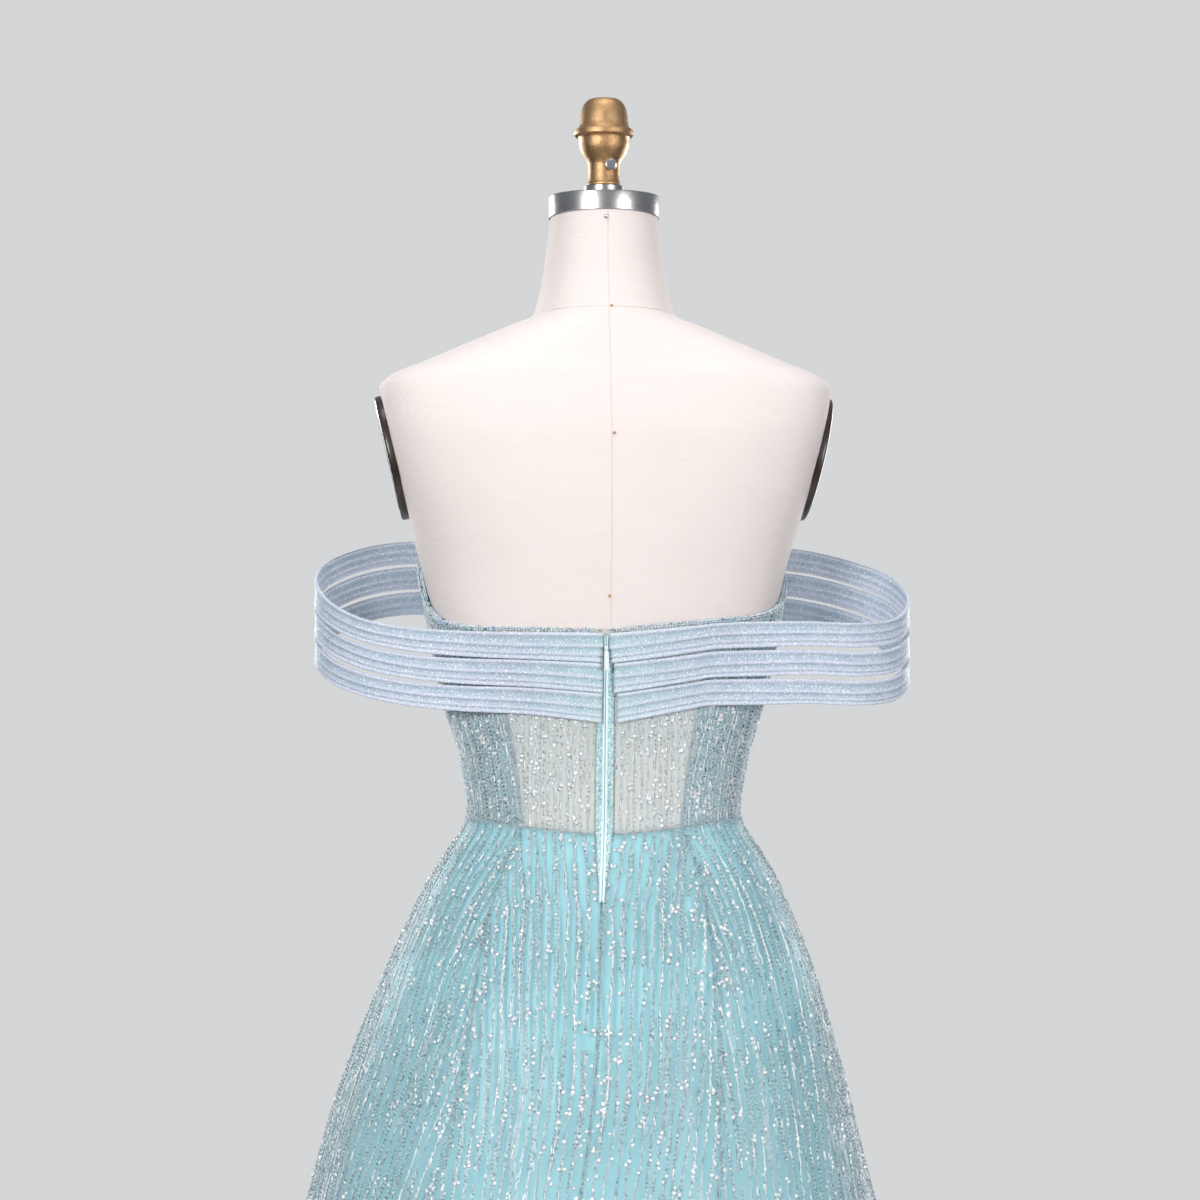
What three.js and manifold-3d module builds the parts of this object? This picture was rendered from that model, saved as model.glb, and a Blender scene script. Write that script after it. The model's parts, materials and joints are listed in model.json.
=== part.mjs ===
// Evening gown with three off-the-shoulder bands, worn by a dress form on a round-based stand.
// Millimetres, +Z up. The gown faces -Y, so its zipped back is on +Y and the wearer's left is +X.
// The origin is on the floor, under the pole.

import * as THREE from "three";
import { mergeVertices } from "three/addons/utils/BufferGeometryUtils.js";
import Module from "manifold-3d";

// Heights above the floor
const WAIST = 1050;
const WAIST_DIP = 10; // how far the waist seam drops at the centre back
const NET_HEM = 12;
const LINING_HEM = 24;
const FORM_BOTTOM = 790;
const NECK_TOP = 1562;
const ZIP_TOP = 1206;
const ZIP_BOTTOM = 986;
const SLIDER_TOP = 1197;

// Cloth walls, and how far each lies off the dress form
const SEAM = 0.3; // clearance between pieces that are sewn together
const LINING_OFF = 1.7;
const LINING_WALL = 1;
const NET_WALL = 1.2;
const NET_OFF = LINING_OFF + LINING_WALL + SEAM;
const NET_OUT = NET_OFF + NET_WALL;
const BAND_OFF = NET_OUT + 1.4;
const SKIRT_LINING_WALL = 1.2;
const FORM_EASE = 1.8; // how much slimmer the dress form is where the bodice covers it

// Zip
const TAPE_HALF = 7.2;
const TAPE_HALF_BOTTOM = 2.2;
const COIL_HALF = 1;
const COIL_SIDE = 0.3;
const COIL_RISE = 1.1;
const SLIDER = { wide: 3.2, tall: 7, deep: 3 };
const PULL = { wide: 3.8, long: 15, thick: 0.9, eye: 0.9, rim: 1.8, ring: 1.4, neck: 0.6 };
const BAIL = { radius: 0.5, post: 0.6, between: 2, rise: 2.3, above: 1, sunk: 0.3 };

// Dress form fittings
const CAP_RADIUS = 47.4;
const CAP_HEIGHT = 19.5;
const CAP_EDGE = 1.2;
const NECK_SLOPE = 0.063; // how much the neck's upper end, under the cap, rises towards the back
const WASHER = { radius: 17.2, height: 8.4 };
const SOCKET_RADIUS = 13.5; // the finial's foot, which the set screw goes into
const SCREW = { radius: 5, rounding: 1.4, head: 2.6, shank: 2.2, sunk: 0.3, out: 15, rise: 16.6, aside: -5 };
const PLATE = { height: 1357, tall: 54, wide: 45 };
const ARM_PLANE = { height: 1407, reach: 190.7, lean: 0.232 }; // the flat side that carries an arm plate
const POLE_RADIUS = 16;
const STAND_TOP = 62; // the upper end of the foot's collar
const CUTTER = { deep: 300, tall: 260, thick: 60 }; // cuts the form flat at each arm

// How finely round and curved pieces are divided
const SIDES = { form: 36, cap: 36, plate: 28, fitting: 20, screw: 12, foot: 40, bar: 8, eye: 12 };
const ZIP_ROWS = 16;
const BAND_STEPS = { back: 6, front: 7, loop: 12 };

const radians = THREE.MathUtils.degToRad;

// Rows of a table as objects with the named columns. The first column is the one that is looked up.
function table(columns, ...rows) {
  const made = rows.map((row) => Object.fromEntries(columns.map((name, i) => [name, row[i]])));
  made.sort((a, b) => a[columns[0]] - b[columns[0]]);
  made.key = columns[0];
  return made;
}

// A column's value at a place between the rows, on a smooth curve that never overshoots them.
function read(rows, column, place) {
  const at = (i) => rows[i][rows.key];
  const last = rows.length - 1;
  if (place <= at(0)) return rows[0][column];
  if (place >= at(last)) return rows[last][column];
  let i = 0;
  while (place > at(i + 1)) i += 1;
  const slope = (k) => (rows[k + 1][column] - rows[k][column]) / (at(k + 1) - at(k));
  const tangent = (k) => {
    if (k === 0) return slope(0);
    if (k === last) return slope(last - 1);
    const [before, after] = [slope(k - 1), slope(k)];
    return before * after <= 0 ? 0 : (2 * before * after) / (before + after);
  };
  const span = at(i + 1) - at(i);
  const t = (place - at(i)) / span;
  const [a, b] = [rows[i][column], rows[i + 1][column]];
  return (
    a * (1 + 2 * t) * (1 - t) ** 2 +
    b * t * t * (3 - 2 * t) +
    span * tangent(i) * t * (1 - t) ** 2 +
    span * tangent(i + 1) * t * t * (t - 1)
  );
}

// The dress form: half its width, its depth behind and before the pole, and how square each section is.
const FORM = table(
  ["height", "half", "back", "front", "square"],
  [NECK_TOP, 46.5, 47, 46, 2],
  [1536, 49.5, 50, 47, 2],
  [1510, 53.3, 54, 49, 2],
  [1490, 57.5, 60, 52, 2.05],
  [1479, 61, 64, 55, 2.1],
  [1469, 84, 68, 60, 2.3],
  [1453, 121.6, 74, 66, 2.6],
  [1437, 158, 79, 72, 3],
  [1427, 182, 83, 77, 3.2],
  [1416, 193, 86, 82, 3.2],
  [1400, 195, 90, 88, 3.1],
  [1372, 190, 95, 96, 3],
  [1330, 178, 96, 105, 2.8],
  [1300, 168, 95, 109, 2.6],
  [1258, 155.4, 91, 111, 2.4],
  [1217, 147.2, 86, 107, 2.35],
  [1180, 140.5, 82, 102, 2.3],
  [1140, 131.3, 77.8, 96, 2.3],
  [1100, 119.8, 75.6, 91, 2.25],
  [1062, 113.6, 76, 89, 2.2],
  [1045, 112.6, 76.6, 89.6, 2.2],
  [1015, 121, 86, 95, 2.2],
  [985, 135, 96, 100, 2.2],
  [940, 156, 108, 106, 2.2],
  [880, 170, 115, 108, 2.2],
  [FORM_BOTTOM, 164, 102, 96, 2.2],
);
const BUST = { height: 1226, angle: 37, rise: 23, across: 25, up: 46 };

// The net overskirt, measured to its outer side. Below 740 it carries on to the floor as a plain A-line.
const SKIRT = table(
  ["height", "half", "back", "front", "square", "shift"],
  [1052, 117.4, 81, 94.2, 2.2, 0],
  [1040, 121, 82.8, 97.5, 2.2, 0],
  [1022, 133.5, 96, 108, 2.2, 0],
  [988, 153.5, 117, 124, 2.2, 1],
  [962, 165.3, 130, 135, 2.2, 2],
  [930, 179, 145, 147, 2.2, 3],
  [900, 190, 157, 158, 2.15, 4],
  [850, 207, 176, 175, 2.1, 7],
  [800, 221.5, 194, 191, 2.1, 9],
  [740, 237, 214, 208, 2.05, 10],
  [500, 298, 290, 279, 2, 6],
  [250, 356, 356, 352, 2, 2],
  [NET_HEM, 408, 412, 408.8, 2, -0.9],
);
// How far the opaque skirt lining hangs inside the net, past a small clearance, and its share of the folds.
const LINING_GAP = 0.9;
const LINING_FOLD_SHARE = 0.6;
const LINING_INSET = table(
  ["height", "inset"],
  [1052, 0],
  [1000, 1.5],
  [930, 4],
  [898, 6],
  [848, 12],
  [790, 20],
  [736, 25],
  [NET_HEM, 30],
);
// Soft folds of the skirt: where each stands out, how wide it is and how deep at the hem.
const FOLDS = table(
  ["angle", "width", "depth"],
  [19, 9, 24],
  [41, 8, 17],
  [66, 10, 22],
  [93, 11, 26],
  [119, 9, 18],
  [141, 9, 24],
  [167, 10, 20],
  [192, 9, 22],
  [216, 10, 19],
  [240, 9, 25],
  [267, 11, 24],
  [294, 10, 19],
  [318, 8, 20],
  [344, 10, 26],
);
const FOLD_TOP = 1010;
const FOLD_GROWTH = 0.95;
// The folds take in as much cloth as they let out, so that the table above stays the mean size.
const FOLD_MEAN = FOLDS.reduce((sum, f) => sum + (f.depth * f.width * Math.sqrt(Math.PI)) / 360, 0);

// The princess seam behind the side seam, as an angle from the zip. The front one mirrors it.
const PRINCESS = table(
  ["height", "angle"],
  [NET_HEM, 28],
  [736, 31],
  [900, 36],
  [1040, 44.5],
  [1150, 50],
  [1300, 51],
);

// How far the gown sits turned on the form towards the wearer's left, with its zip and all its seams.
const TURN = table(
  ["height", "turn"],
  [NET_HEM, 10],
  [722, 10],
  [856, 6.1],
  [ZIP_BOTTOM, 4.9],
  [WAIST, 3.9],
  [ZIP_TOP, 2.9],
);

// The bodice's upper edge on each side, by the angle from the centre back.
const TOP_EDGE = table(
  ["angle", "left", "right"],
  [0, 1210.5, 1210.5],
  [35, 1211.5, 1216],
  [62, 1212.5, 1221],
  [73, 1217, 1226],
  [82, 1228, 1235],
  [90, 1246, 1247],
  [105, 1268, 1266],
  [125, 1287, 1285],
  [145, 1294, 1293],
  [165, 1293, 1293],
  [180, 1289, 1289],
);

// The bands on the back and the front: the stack's upper edge, the step between bands, and a band's width.
const LAID = {
  left: table(
    ["angle", "top", "step", "width"],
    [0, 1207.6, 25.6, 25.2],
    [20, 1208.3, 24.6, 24.2],
    [48, 1208.6, 23.2, 22.6],
    [132, 1287, 22.2, 21.6],
    [150, 1289.5, 22.2, 21.6],
    [180, 1284.5, 22.4, 22],
  ),
  right: table(
    ["angle", "top", "step", "width"],
    [0, 1207.6, 25.6, 25.2],
    [20, 1210, 24.8, 24],
    [48, 1215.5, 24, 22.2],
    [132, 1285, 22.2, 21.6],
    [150, 1288, 22.2, 21.6],
    [180, 1284.5, 22.4, 22],
  ),
};
const LEAVES = 48; // the angle at which the bands leave the back
const LANDS = 132; // and the angle at which they meet the front again
// The free loops that stand off the shoulders, from the back to the front.
const LOOP = {
  left: table(
    ["order", "x", "y", "top", "step", "width"],
    [1, 128, 62, 1209.5, 23, 21.2],
    [2, 170, 48, 1212.5, 23, 20],
    [3, 207, 32, 1220, 23, 19.8],
    [4, 234, 11, 1234, 23.8, 20.8],
    [5, 246, -14, 1252, 24.6, 22],
    [6, 238, -42, 1267, 24, 21],
    [7, 212, -66, 1279, 23, 19.9],
    [8, 176, -84, 1286, 22.5, 19.8],
  ),
  right: table(
    ["order", "x", "y", "top", "step", "width"],
    [1, 128, 64, 1217, 24.2, 21.8],
    [2, 172, 54, 1217, 24.4, 21],
    [3, 217, 42, 1215.5, 24.6, 20.9],
    [4, 250, 20, 1220, 24.6, 21.3],
    [5, 265, -10, 1237, 24.6, 22.4],
    [6, 254, -42, 1256, 23.6, 21.6],
    [7, 222, -68, 1270, 22.8, 20.6],
    [8, 180, -84, 1280, 22.5, 20.4],
  ),
};
const BAND_NAMES = ["band_top", "band_middle", "band_low"];
const BAND_ENDS = { left: [2.4, 2.8, 3.4], right: [2.4, 6.5, 9.5] }; // each band's end, off the centre back
// A band is folded double along both edges: how thick it is from its upper to its lower edge.
const BAND_PROFILE = table(
  ["across", "thick"],
  [0, 1.5],
  [0.14, 2.3],
  [0.5, 1.4],
  [0.86, 2.3],
  [1, 1.5],
);

// The radius of a rounded section at an angle from the centre back towards the wearer's left.
function sectionRadius(rows, height, angle) {
  const a = radians(angle);
  const square = read(rows, "square", height);
  const depth = read(rows, Math.cos(a) > 0 ? "back" : "front", height);
  const wide = Math.abs(Math.sin(a)) / read(rows, "half", height);
  const deep = Math.abs(Math.cos(a)) / depth;
  return (wide ** square + deep ** square) ** (-1 / square);
}

const bell = (offset, width) => Math.exp(-((offset / width) ** 2));

// The smaller angle between two directions, in degrees.
const between = (a, b) => Math.abs(((((a - b) % 360) + 540) % 360) - 180);

function formRadius(height, angle) {
  const mounds = [180 - BUST.angle, 180 + BUST.angle].reduce(
    (sum, middle) => sum + bell(between(angle, middle), BUST.across),
    0,
  );
  return sectionRadius(FORM, height, angle) + BUST.rise * mounds * bell(height - BUST.height, BUST.up);
}

// How far the soft folds push the skirt out or in.
function foldDepth(height, angle) {
  const share = Math.max(0, (FOLD_TOP - height) / (FOLD_TOP - NET_HEM)) ** FOLD_GROWTH;
  const folds = FOLDS.reduce((sum, f) => sum + f.depth * bell(between(angle, f.angle), f.width), 0);
  return (folds - FOLD_MEAN) * share;
}

// The skirt's mean size, which leans a little to the wearer's left as it falls.
const skirtMean = (height, angle) =>
  sectionRadius(SKIRT, height, angle) + read(SKIRT, "shift", height) * Math.sin(radians(angle));

const skirtRadius = (height, angle) => skirtMean(height, angle) + foldDepth(height, angle);

const liningRadius = (height, angle) =>
  skirtMean(height, angle) - NET_WALL - LINING_GAP - read(LINING_INSET, "inset", height) +
  LINING_FOLD_SHARE * foldDepth(height, angle);

// A point off a surface, which is given by its radius at each height and angle.
function offSurface(radiusAt, height, angle, out) {
  const point = (turn) => {
    const a = radians(angle + turn);
    const r = radiusAt(height, angle + turn);
    return new THREE.Vector2(r * Math.sin(a), r * Math.cos(a));
  };
  const along = point(0.5).sub(point(-0.5)).normalize();
  const here = point(0);
  return new THREE.Vector3(here.x - along.y * out, here.y + along.x * out, height);
}

// The angle that spans a distance across a surface's back.
function angleAcross(radiusAt, height, across) {
  return THREE.MathUtils.radToDeg(Math.asin(across / radiusAt(height, 0)));
}

// Makes one closed solid through rings with equal counts of points.
// A wall's ring runs along its outer side and back along its inner side, so its two ends close as strips.
function loft(rings, isWall) {
  const count = rings[0].length;
  const points = rings.flat();
  const faces = [];
  const quad = (a, b, c, d) => faces.push(a, b, c, a, c, d);
  // Both sides of a wall are split along the same diagonals, so that two layers of cloth nest.
  for (let i = 0; i + 1 < rings.length; i += 1) {
    for (let j = 0; j < count; j += 1) {
      const next = (j + 1) % count;
      const corners = [i * count + j, i * count + next, (i + 1) * count + next, (i + 1) * count + j];
      if (isWall && j >= count / 2) corners.push(corners.shift());
      quad(...corners);
    }
  }
  const lastRing = (rings.length - 1) * count;
  if (isWall) {
    for (let j = 0; j + 1 < count / 2; j += 1) {
      const [a, b, c, d] = [j, j + 1, count - 2 - j, count - 1 - j];
      quad(d, c, b, a);
      quad(lastRing + a, lastRing + b, lastRing + c, lastRing + d);
    }
  } else {
    for (const [start, ring, turn] of [[0, rings[0], 1], [lastRing, rings.at(-1), -1]]) {
      const middle = ring.reduce((sum, p) => sum.add(p), new THREE.Vector3()).divideScalar(count);
      points.push(middle);
      for (let j = 0; j < count; j += 1) {
        const [a, b] = [start + j, start + ((j + 1) % count)];
        faces.push(...(turn > 0 ? [b, a] : [a, b]), points.length - 1);
      }
    }
  }
  return facingOut(points, faces);
}

// A geometry from points and triangles, turned so that its faces point outwards.
function facingOut(points, faces) {
  let volume = 0;
  for (let i = 0; i < faces.length; i += 3) {
    const [a, b, c] = [points[faces[i]], points[faces[i + 1]], points[faces[i + 2]]];
    volume += a.dot(new THREE.Vector3().crossVectors(b, c));
  }
  const index = volume < 0 ? faces.toReversed() : faces;
  const geometry = new THREE.BufferGeometry().setFromPoints(points);
  geometry.setIndex(index);
  return geometry;
}

const wall = (outer, inner) => loft(outer.map((row, i) => [...row, ...inner[i].toReversed()]), true);

const spread = (count, make) => Array.from({ length: count + 1 }, (_, i) => make(i / count));

// A sewn panel: a grid between two seams, given as angles, and two edges, given as heights.
function panel({ radiusAt, from, to, top, bottom, rows, columns, out, thick, crowd = 1 }) {
  const place = (down, along) => {
    let height = (WAIST + top(0)) / 2;
    let angle = 0;
    for (let pass = 0; pass < 4; pass += 1) {
      angle = THREE.MathUtils.lerp(from(height), to(height), along);
      height = THREE.MathUtils.lerp(top(angle), bottom(angle), down ** crowd);
    }
    return [height, angle];
  };
  const grid = (off) =>
    spread(rows, (down) => spread(columns, (along) => offSurface(radiusAt, ...place(down, along), off)));
  return wall(grid(out), grid(out - thick));
}

// Seams as angles at a height. Half of the seam's clearance is taken off each neighbour.
const seamAngle = (radiusAt, side) => (height) =>
  side * THREE.MathUtils.radToDeg(SEAM / 2 / radiusAt(height, 90));

const turnAt = (height) => read(TURN, "turn", height);

// Half of the gap between the two back gores, which the zip fills.
function zipHalf(height) {
  if (height < ZIP_BOTTOM) return SEAM / 2;
  const widening = THREE.MathUtils.smoothstep(height, ZIP_BOTTOM, WAIST);
  return SEAM + THREE.MathUtils.lerp(TAPE_HALF_BOTTOM, TAPE_HALF, widening);
}

const waistSeam = (angle) => WAIST - WAIST_DIP * Math.max(0, Math.cos(radians(angle))) ** 2;
const bodiceEdge = (angle) => {
  const turned = between(angle, 0);
  return read(TOP_EDGE, ((angle % 360) + 360) % 360 <= 180 ? "left" : "right", turned);
};

// The seven gores that the net bodice and the net skirt are both cut in, each between two seams.
function gores(radiusAt) {
  const back = (side) => (height) => turnAt(height) + side * angleAcross(radiusAt, height, zipHalf(height));
  const behind = (side) => (height) => turnAt(height) + side * read(PRINCESS, "angle", height);
  const ahead = (side) => (height) => turnAt(height) + side * (180 - read(PRINCESS, "angle", height));
  const side = (side) => (height) => turnAt(height) + side * 90;
  const trimmed = (line, turn) => (height) => line(height) + seamAngle(radiusAt, turn)(height);
  const both = (name, near, far) => [
    { name: `${name}_left`, from: trimmed(near(1), 1), to: trimmed(far(1), -1) },
    { name: `${name}_right`, from: trimmed(far(-1), 1), to: trimmed(near(-1), -1) },
  ];
  return [
    { name: "back_left", from: back(1), to: trimmed(behind(1), -1) },
    { name: "back_right", from: trimmed(behind(-1), 1), to: back(-1) },
    ...both("side_back", behind, side),
    ...both("side_front", side, ahead),
    { name: "front", from: trimmed(ahead(1), 1), to: trimmed((height) => 360 + ahead(-1)(height), -1) },
  ];
}

// How finely the panels are divided
const BODICE_ROWS = 8;
const BODICE_COLUMNS = { back: 5, side_back: 5, side_front: 7, front: 13 };
const SKIRT_ROWS = 10;
const SKIRT_COLUMNS = { back: 8, side_back: 12, side_front: 12, front: 12 };
const SKIRT_CROWD = 1.35; // crowds the rows towards the waist, where the skirt turns out
const LINING_ROWS = 8;
const LINING_COLUMNS = { back: 12, front: 22 };
const LINING_TRIM = 0.1; // half of the gap between two lining pieces, in degrees
const columnsOf = (counts, name) => counts[name.replace(/_(left|right)$/, "")];

const MATERIALS = {
  net: new THREE.MeshStandardMaterial({ color: "#a9cdd6", roughness: 0.45, metalness: 0.1 }),
  lining: new THREE.MeshStandardMaterial({ color: "#86cdd6", roughness: 0.5, metalness: 0 }),
  band: new THREE.MeshStandardMaterial({ color: "#b9cbe0", roughness: 0.55, metalness: 0 }),
  tape: new THREE.MeshStandardMaterial({ color: "#a6dfe4", roughness: 0.6, metalness: 0 }),
  linen: new THREE.MeshStandardMaterial({ color: "#ece2dc", roughness: 0.85, metalness: 0 }),
  steel: new THREE.MeshStandardMaterial({ color: "#8f8f96", roughness: 0.3, metalness: 1 }),
  gold: new THREE.MeshStandardMaterial({ color: "#a87a45", roughness: 0.45, metalness: 0.8 }),
  wood: new THREE.MeshStandardMaterial({ color: "#4a2a1c", roughness: 0.5, metalness: 0 }),
};

const gown = new THREE.Group();

function add(name, geometry, material, group = gown) {
  const mesh = new THREE.Mesh(geometry, MATERIALS[material]);
  mesh.name = name;
  group.add(mesh);
  return mesh;
}

function netBodice() {
  for (const gore of gores(formRadius)) {
    const shape = { radiusAt: formRadius, top: bodiceEdge, bottom: (angle) => waistSeam(angle) + SEAM / 2 };
    const grid = { rows: BODICE_ROWS, columns: columnsOf(BODICE_COLUMNS, gore.name) };
    add(`bodice_${gore.name}`, panel({ ...shape, ...gore, ...grid, out: NET_OUT, thick: NET_WALL }), "net");
  }
}

// The bodice is lined at the sides and the front, and left sheer between the princess seams of the back.
function bodiceLining() {
  for (const gore of gores(formRadius)) {
    if (gore.name.startsWith("back")) continue;
    const shape = {
      radiusAt: formRadius,
      top: bodiceEdge,
      bottom: (angle) => waistSeam(angle) + SEAM / 2,
      out: LINING_OFF + LINING_WALL,
      thick: LINING_WALL,
    };
    const columns = columnsOf(BODICE_COLUMNS, gore.name);
    add(`bodice_lining_${gore.name}`, panel({ ...shape, ...gore, rows: BODICE_ROWS, columns }), "lining");
  }
}

function netSkirt() {
  for (const gore of gores(skirtRadius)) {
    const shape = {
      radiusAt: skirtRadius,
      top: (angle) => waistSeam(angle) - SEAM / 2,
      bottom: () => NET_HEM,
      out: 0,
      thick: NET_WALL,
      rows: SKIRT_ROWS,
      crowd: SKIRT_CROWD,
    };
    const columns = columnsOf(SKIRT_COLUMNS, gore.name);
    add(`skirt_net_${gore.name}`, panel({ ...shape, ...gore, columns }), "net");
  }
}

function skirtLining() {
  const pieces = table(
    ["start", "end", "name"],
    [0, 90, "back_left"],
    [90, 270, "front"],
    [270, 360, "back_right"],
  );
  for (const { start, end, name } of pieces) {
    const shape = {
      from: (height) => turnAt(height) + start + LINING_TRIM,
      to: (height) => turnAt(height) + end - LINING_TRIM,
      radiusAt: liningRadius,
      top: (angle) => waistSeam(angle) - SEAM / 2,
      bottom: () => LINING_HEM,
      out: 0,
      thick: SKIRT_LINING_WALL,
      rows: LINING_ROWS,
      columns: columnsOf(LINING_COLUMNS, name),
      crowd: SKIRT_CROWD,
    };
    add(`skirt_lining_${name}`, panel(shape), "lining");
  }
}

// A point a distance across from the zip's line and out, on the bodice above the waist or the skirt below it.
function zipPoint(height, across, out) {
  const blend = THREE.MathUtils.smoothstep(height, WAIST - WAIST_DIP, WAIST);
  const angle = (radiusAt) => turnAt(height) + angleAcross(radiusAt, height, across);
  const skirt = offSurface(skirtRadius, height, angle(skirtRadius), out);
  const bodice = offSurface(formRadius, height, angle(formRadius), NET_OUT + out);
  return skirt.lerp(bodice, blend);
}

// The zip's tape with the closed coil raised along its middle.
function zipTape() {
  const lines = (raised) =>
    spread(ZIP_ROWS, (down) => {
      const height = THREE.MathUtils.lerp(ZIP_TOP, ZIP_BOTTOM + 1, down);
      const half = zipHalf(height) - SEAM;
      const section = [
        [-half, 0],
        [-COIL_HALF - COIL_SIDE, 0],
        [-COIL_HALF, COIL_RISE],
        [COIL_HALF, COIL_RISE],
        [COIL_HALF + COIL_SIDE, 0],
        [half, 0],
      ];
      return section.map(([across, rise]) => zipPoint(height, across, raised ? rise : -NET_WALL));
    });
  add("zip_tape", wall(lines(true), lines(false)), "tape");
}

// A straight piece that lies along X, from an outline in the YZ plane.
function alongX(shape, length) {
  const geometry = new THREE.ExtrudeGeometry(shape, { depth: length, bevelEnabled: false });
  geometry.translate(0, 0, -length / 2);
  geometry.rotateY(Math.PI / 2);
  geometry.rotateX(Math.PI / 2);
  return geometry;
}

const box = (wide, deep, tall, x, y, z) => new THREE.BoxGeometry(wide, deep, tall).translate(x, y, z);

// A regular outline that stands on a flat side, with or without a like hole.
function circle(radius, count, hole = 0) {
  const ring = (r) =>
    Array.from({ length: count }, (_, i) => {
      const turn = (2 * Math.PI * (i + 0.5)) / count;
      return new THREE.Vector2(r * Math.cos(turn), r * Math.sin(turn));
    });
  const shape = new THREE.Shape(ring(radius));
  if (hole > 0) shape.holes.push(new THREE.Path(ring(hole)));
  return shape;
}

const wasm = await Module();
wasm.setup();

// A geometry as a solid that can be joined and cut.
function asSolid(geometry) {
  const bare = geometry.clone();
  bare.deleteAttribute("normal");
  bare.deleteAttribute("uv");
  const merged = mergeVertices(bare, 1e-4);
  return new wasm.Manifold(
    new wasm.Mesh({
      numProp: 3,
      vertProperties: new Float32Array(merged.attributes.position.array),
      triVerts: new Uint32Array(merged.index.array),
    }),
  );
}

function asGeometry(solid) {
  const mesh = solid.getMesh();
  const geometry = new THREE.BufferGeometry();
  geometry.setAttribute("position", new THREE.BufferAttribute(mesh.vertProperties, 3));
  geometry.setIndex(new THREE.BufferAttribute(mesh.triVerts, 1));
  return geometry;
}

const joined = (...parts) => asGeometry(parts.map(asSolid).reduce((whole, part) => whole.add(part)));

// The slider sits over the coil below the upper edge. The pull hangs from the bar between its two posts.
function sliderAndPull() {
  const middle = SLIDER_TOP - SLIDER.tall / 2;
  const coilFaces = [-1, 0, 1].map((end) => zipPoint(middle + (end * SLIDER.tall) / 2, 0, COIL_RISE).y);
  const back = Math.max(...coilFaces) + SEAM;
  const line = zipPoint(middle, 0, 0).x;
  const hinge = new THREE.Vector3(line, back + SLIDER.deep + BAIL.rise, middle + BAIL.above);
  const post = (side) => {
    const foot = back + SLIDER.deep - BAIL.sunk;
    const top = hinge.y + BAIL.radius;
    const x = line + (side * (BAIL.between + BAIL.post)) / 2;
    return box(BAIL.post, top - foot, 2 * BAIL.radius, x, (top + foot) / 2, hinge.z);
  };
  const body = box(SLIDER.wide, SLIDER.deep, SLIDER.tall, line, back + SLIDER.deep / 2, middle);
  const bar = alongX(circle(BAIL.radius, SIDES.bar), BAIL.between + BAIL.sunk).translate(line, hinge.y, hinge.z);
  add("zip_slider", joined(body, post(1), post(-1), bar), "steel");

  const ring = alongX(circle(PULL.rim, SIDES.eye, PULL.eye), PULL.ring);
  const bladeTop = -PULL.rim - PULL.neck;
  const neckTall = PULL.neck + PULL.rim - PULL.eye;
  const neck = box(PULL.ring, PULL.thick, neckTall, 0, 0, bladeTop - BAIL.sunk + neckTall / 2);
  const blade = box(PULL.wide, PULL.thick, PULL.long, 0, 0, bladeTop - PULL.long / 2);
  add("zip_pull", joined(ring, neck, blade).translate(hinge.x, hinge.y, hinge.z), "steel");
}

// The height that lies a distance further down the bodice, measured along it.
function walkDown(height, angle, distance) {
  const start = offSurface(formRadius, height, angle, BAND_OFF);
  let drop = distance;
  for (let pass = 0; pass < 5 && distance > 0; pass += 1) {
    drop *= distance / offSurface(formRadius, height - drop, angle, BAND_OFF).distanceTo(start);
  }
  return height - drop;
}

// A band's lines across its width, from its end beside the zip to the centre front, on one side.
function bandSide(level, side) {
  const turn = side === "left" ? 1 : -1;
  const laidLine = (angle) => {
    const at = (column) => read(LAID[side], column, angle);
    const upper = walkDown(at("top"), turn * angle, level * at("step"));
    return BAND_PROFILE.map(({ across }) =>
      offSurface(formRadius, walkDown(upper, turn * angle, across * at("width")), turn * angle, BAND_OFF),
    );
  };
  const end = turn * turnAt(SLIDER_TOP) + angleAcross(formRadius, SLIDER_TOP, BAND_ENDS[side][level]);
  const onBack = spread(BAND_STEPS.back, (share) => laidLine(THREE.MathUtils.lerp(end, LEAVES, share)));
  const onFront = spread(BAND_STEPS.front, (share) => laidLine(THREE.MathUtils.lerp(LANDS, 180, share)));
  const posts = LOOP[side].map((post) =>
    BAND_PROFILE.map(({ across }) => {
      const height = post.top - level * post.step - across * post.width;
      return new THREE.Vector3(turn * post.x, post.y, height);
    }),
  );
  const free = [onBack.at(-2), onBack.at(-1), ...posts, onFront[0], onFront[1]];
  const curves = BAND_PROFILE.map((_, i) => new THREE.CatmullRomCurve3(free.map((line) => line[i])));
  const loop = spread(BAND_STEPS.loop, (share) => {
    const along = (1 + share * (free.length - 3)) / (free.length - 1);
    return curves.map((curve) => curve.getPoint(along));
  });
  return [...onBack, ...loop.slice(1, -1), ...onFront];
}

// A strip with its inner side on the given lines, and its own thickness outwards.
function ribbon(lines) {
  const outer = lines.map((line, i) => {
    const before = lines[Math.max(0, i - 1)];
    const after = lines[Math.min(lines.length - 1, i + 1)];
    return line.map((point, m) => {
      const along = after[m].clone().sub(before[m]);
      const down = line[Math.min(m + 1, line.length - 1)].clone().sub(line[Math.max(m - 1, 0)]);
      return point.clone().addScaledVector(along.cross(down).normalize(), BAND_PROFILE[m].thick);
    });
  });
  return wall(outer, lines);
}

// Each band is one strip from the zip over one shoulder, across the front, and over the other back to the zip.
function bands() {
  BAND_NAMES.forEach((name, level) => {
    const [left, right] = [bandSide(level, "left"), bandSide(level, "right")];
    add(name, ribbon([...left, ...right.toReversed().slice(1)]), "band");
  });
}

// A ring of points, each made from its angle.
const ringOf = (sides, make) => Array.from({ length: sides }, (_, i) => make((2 * Math.PI * i) / sides));

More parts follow.
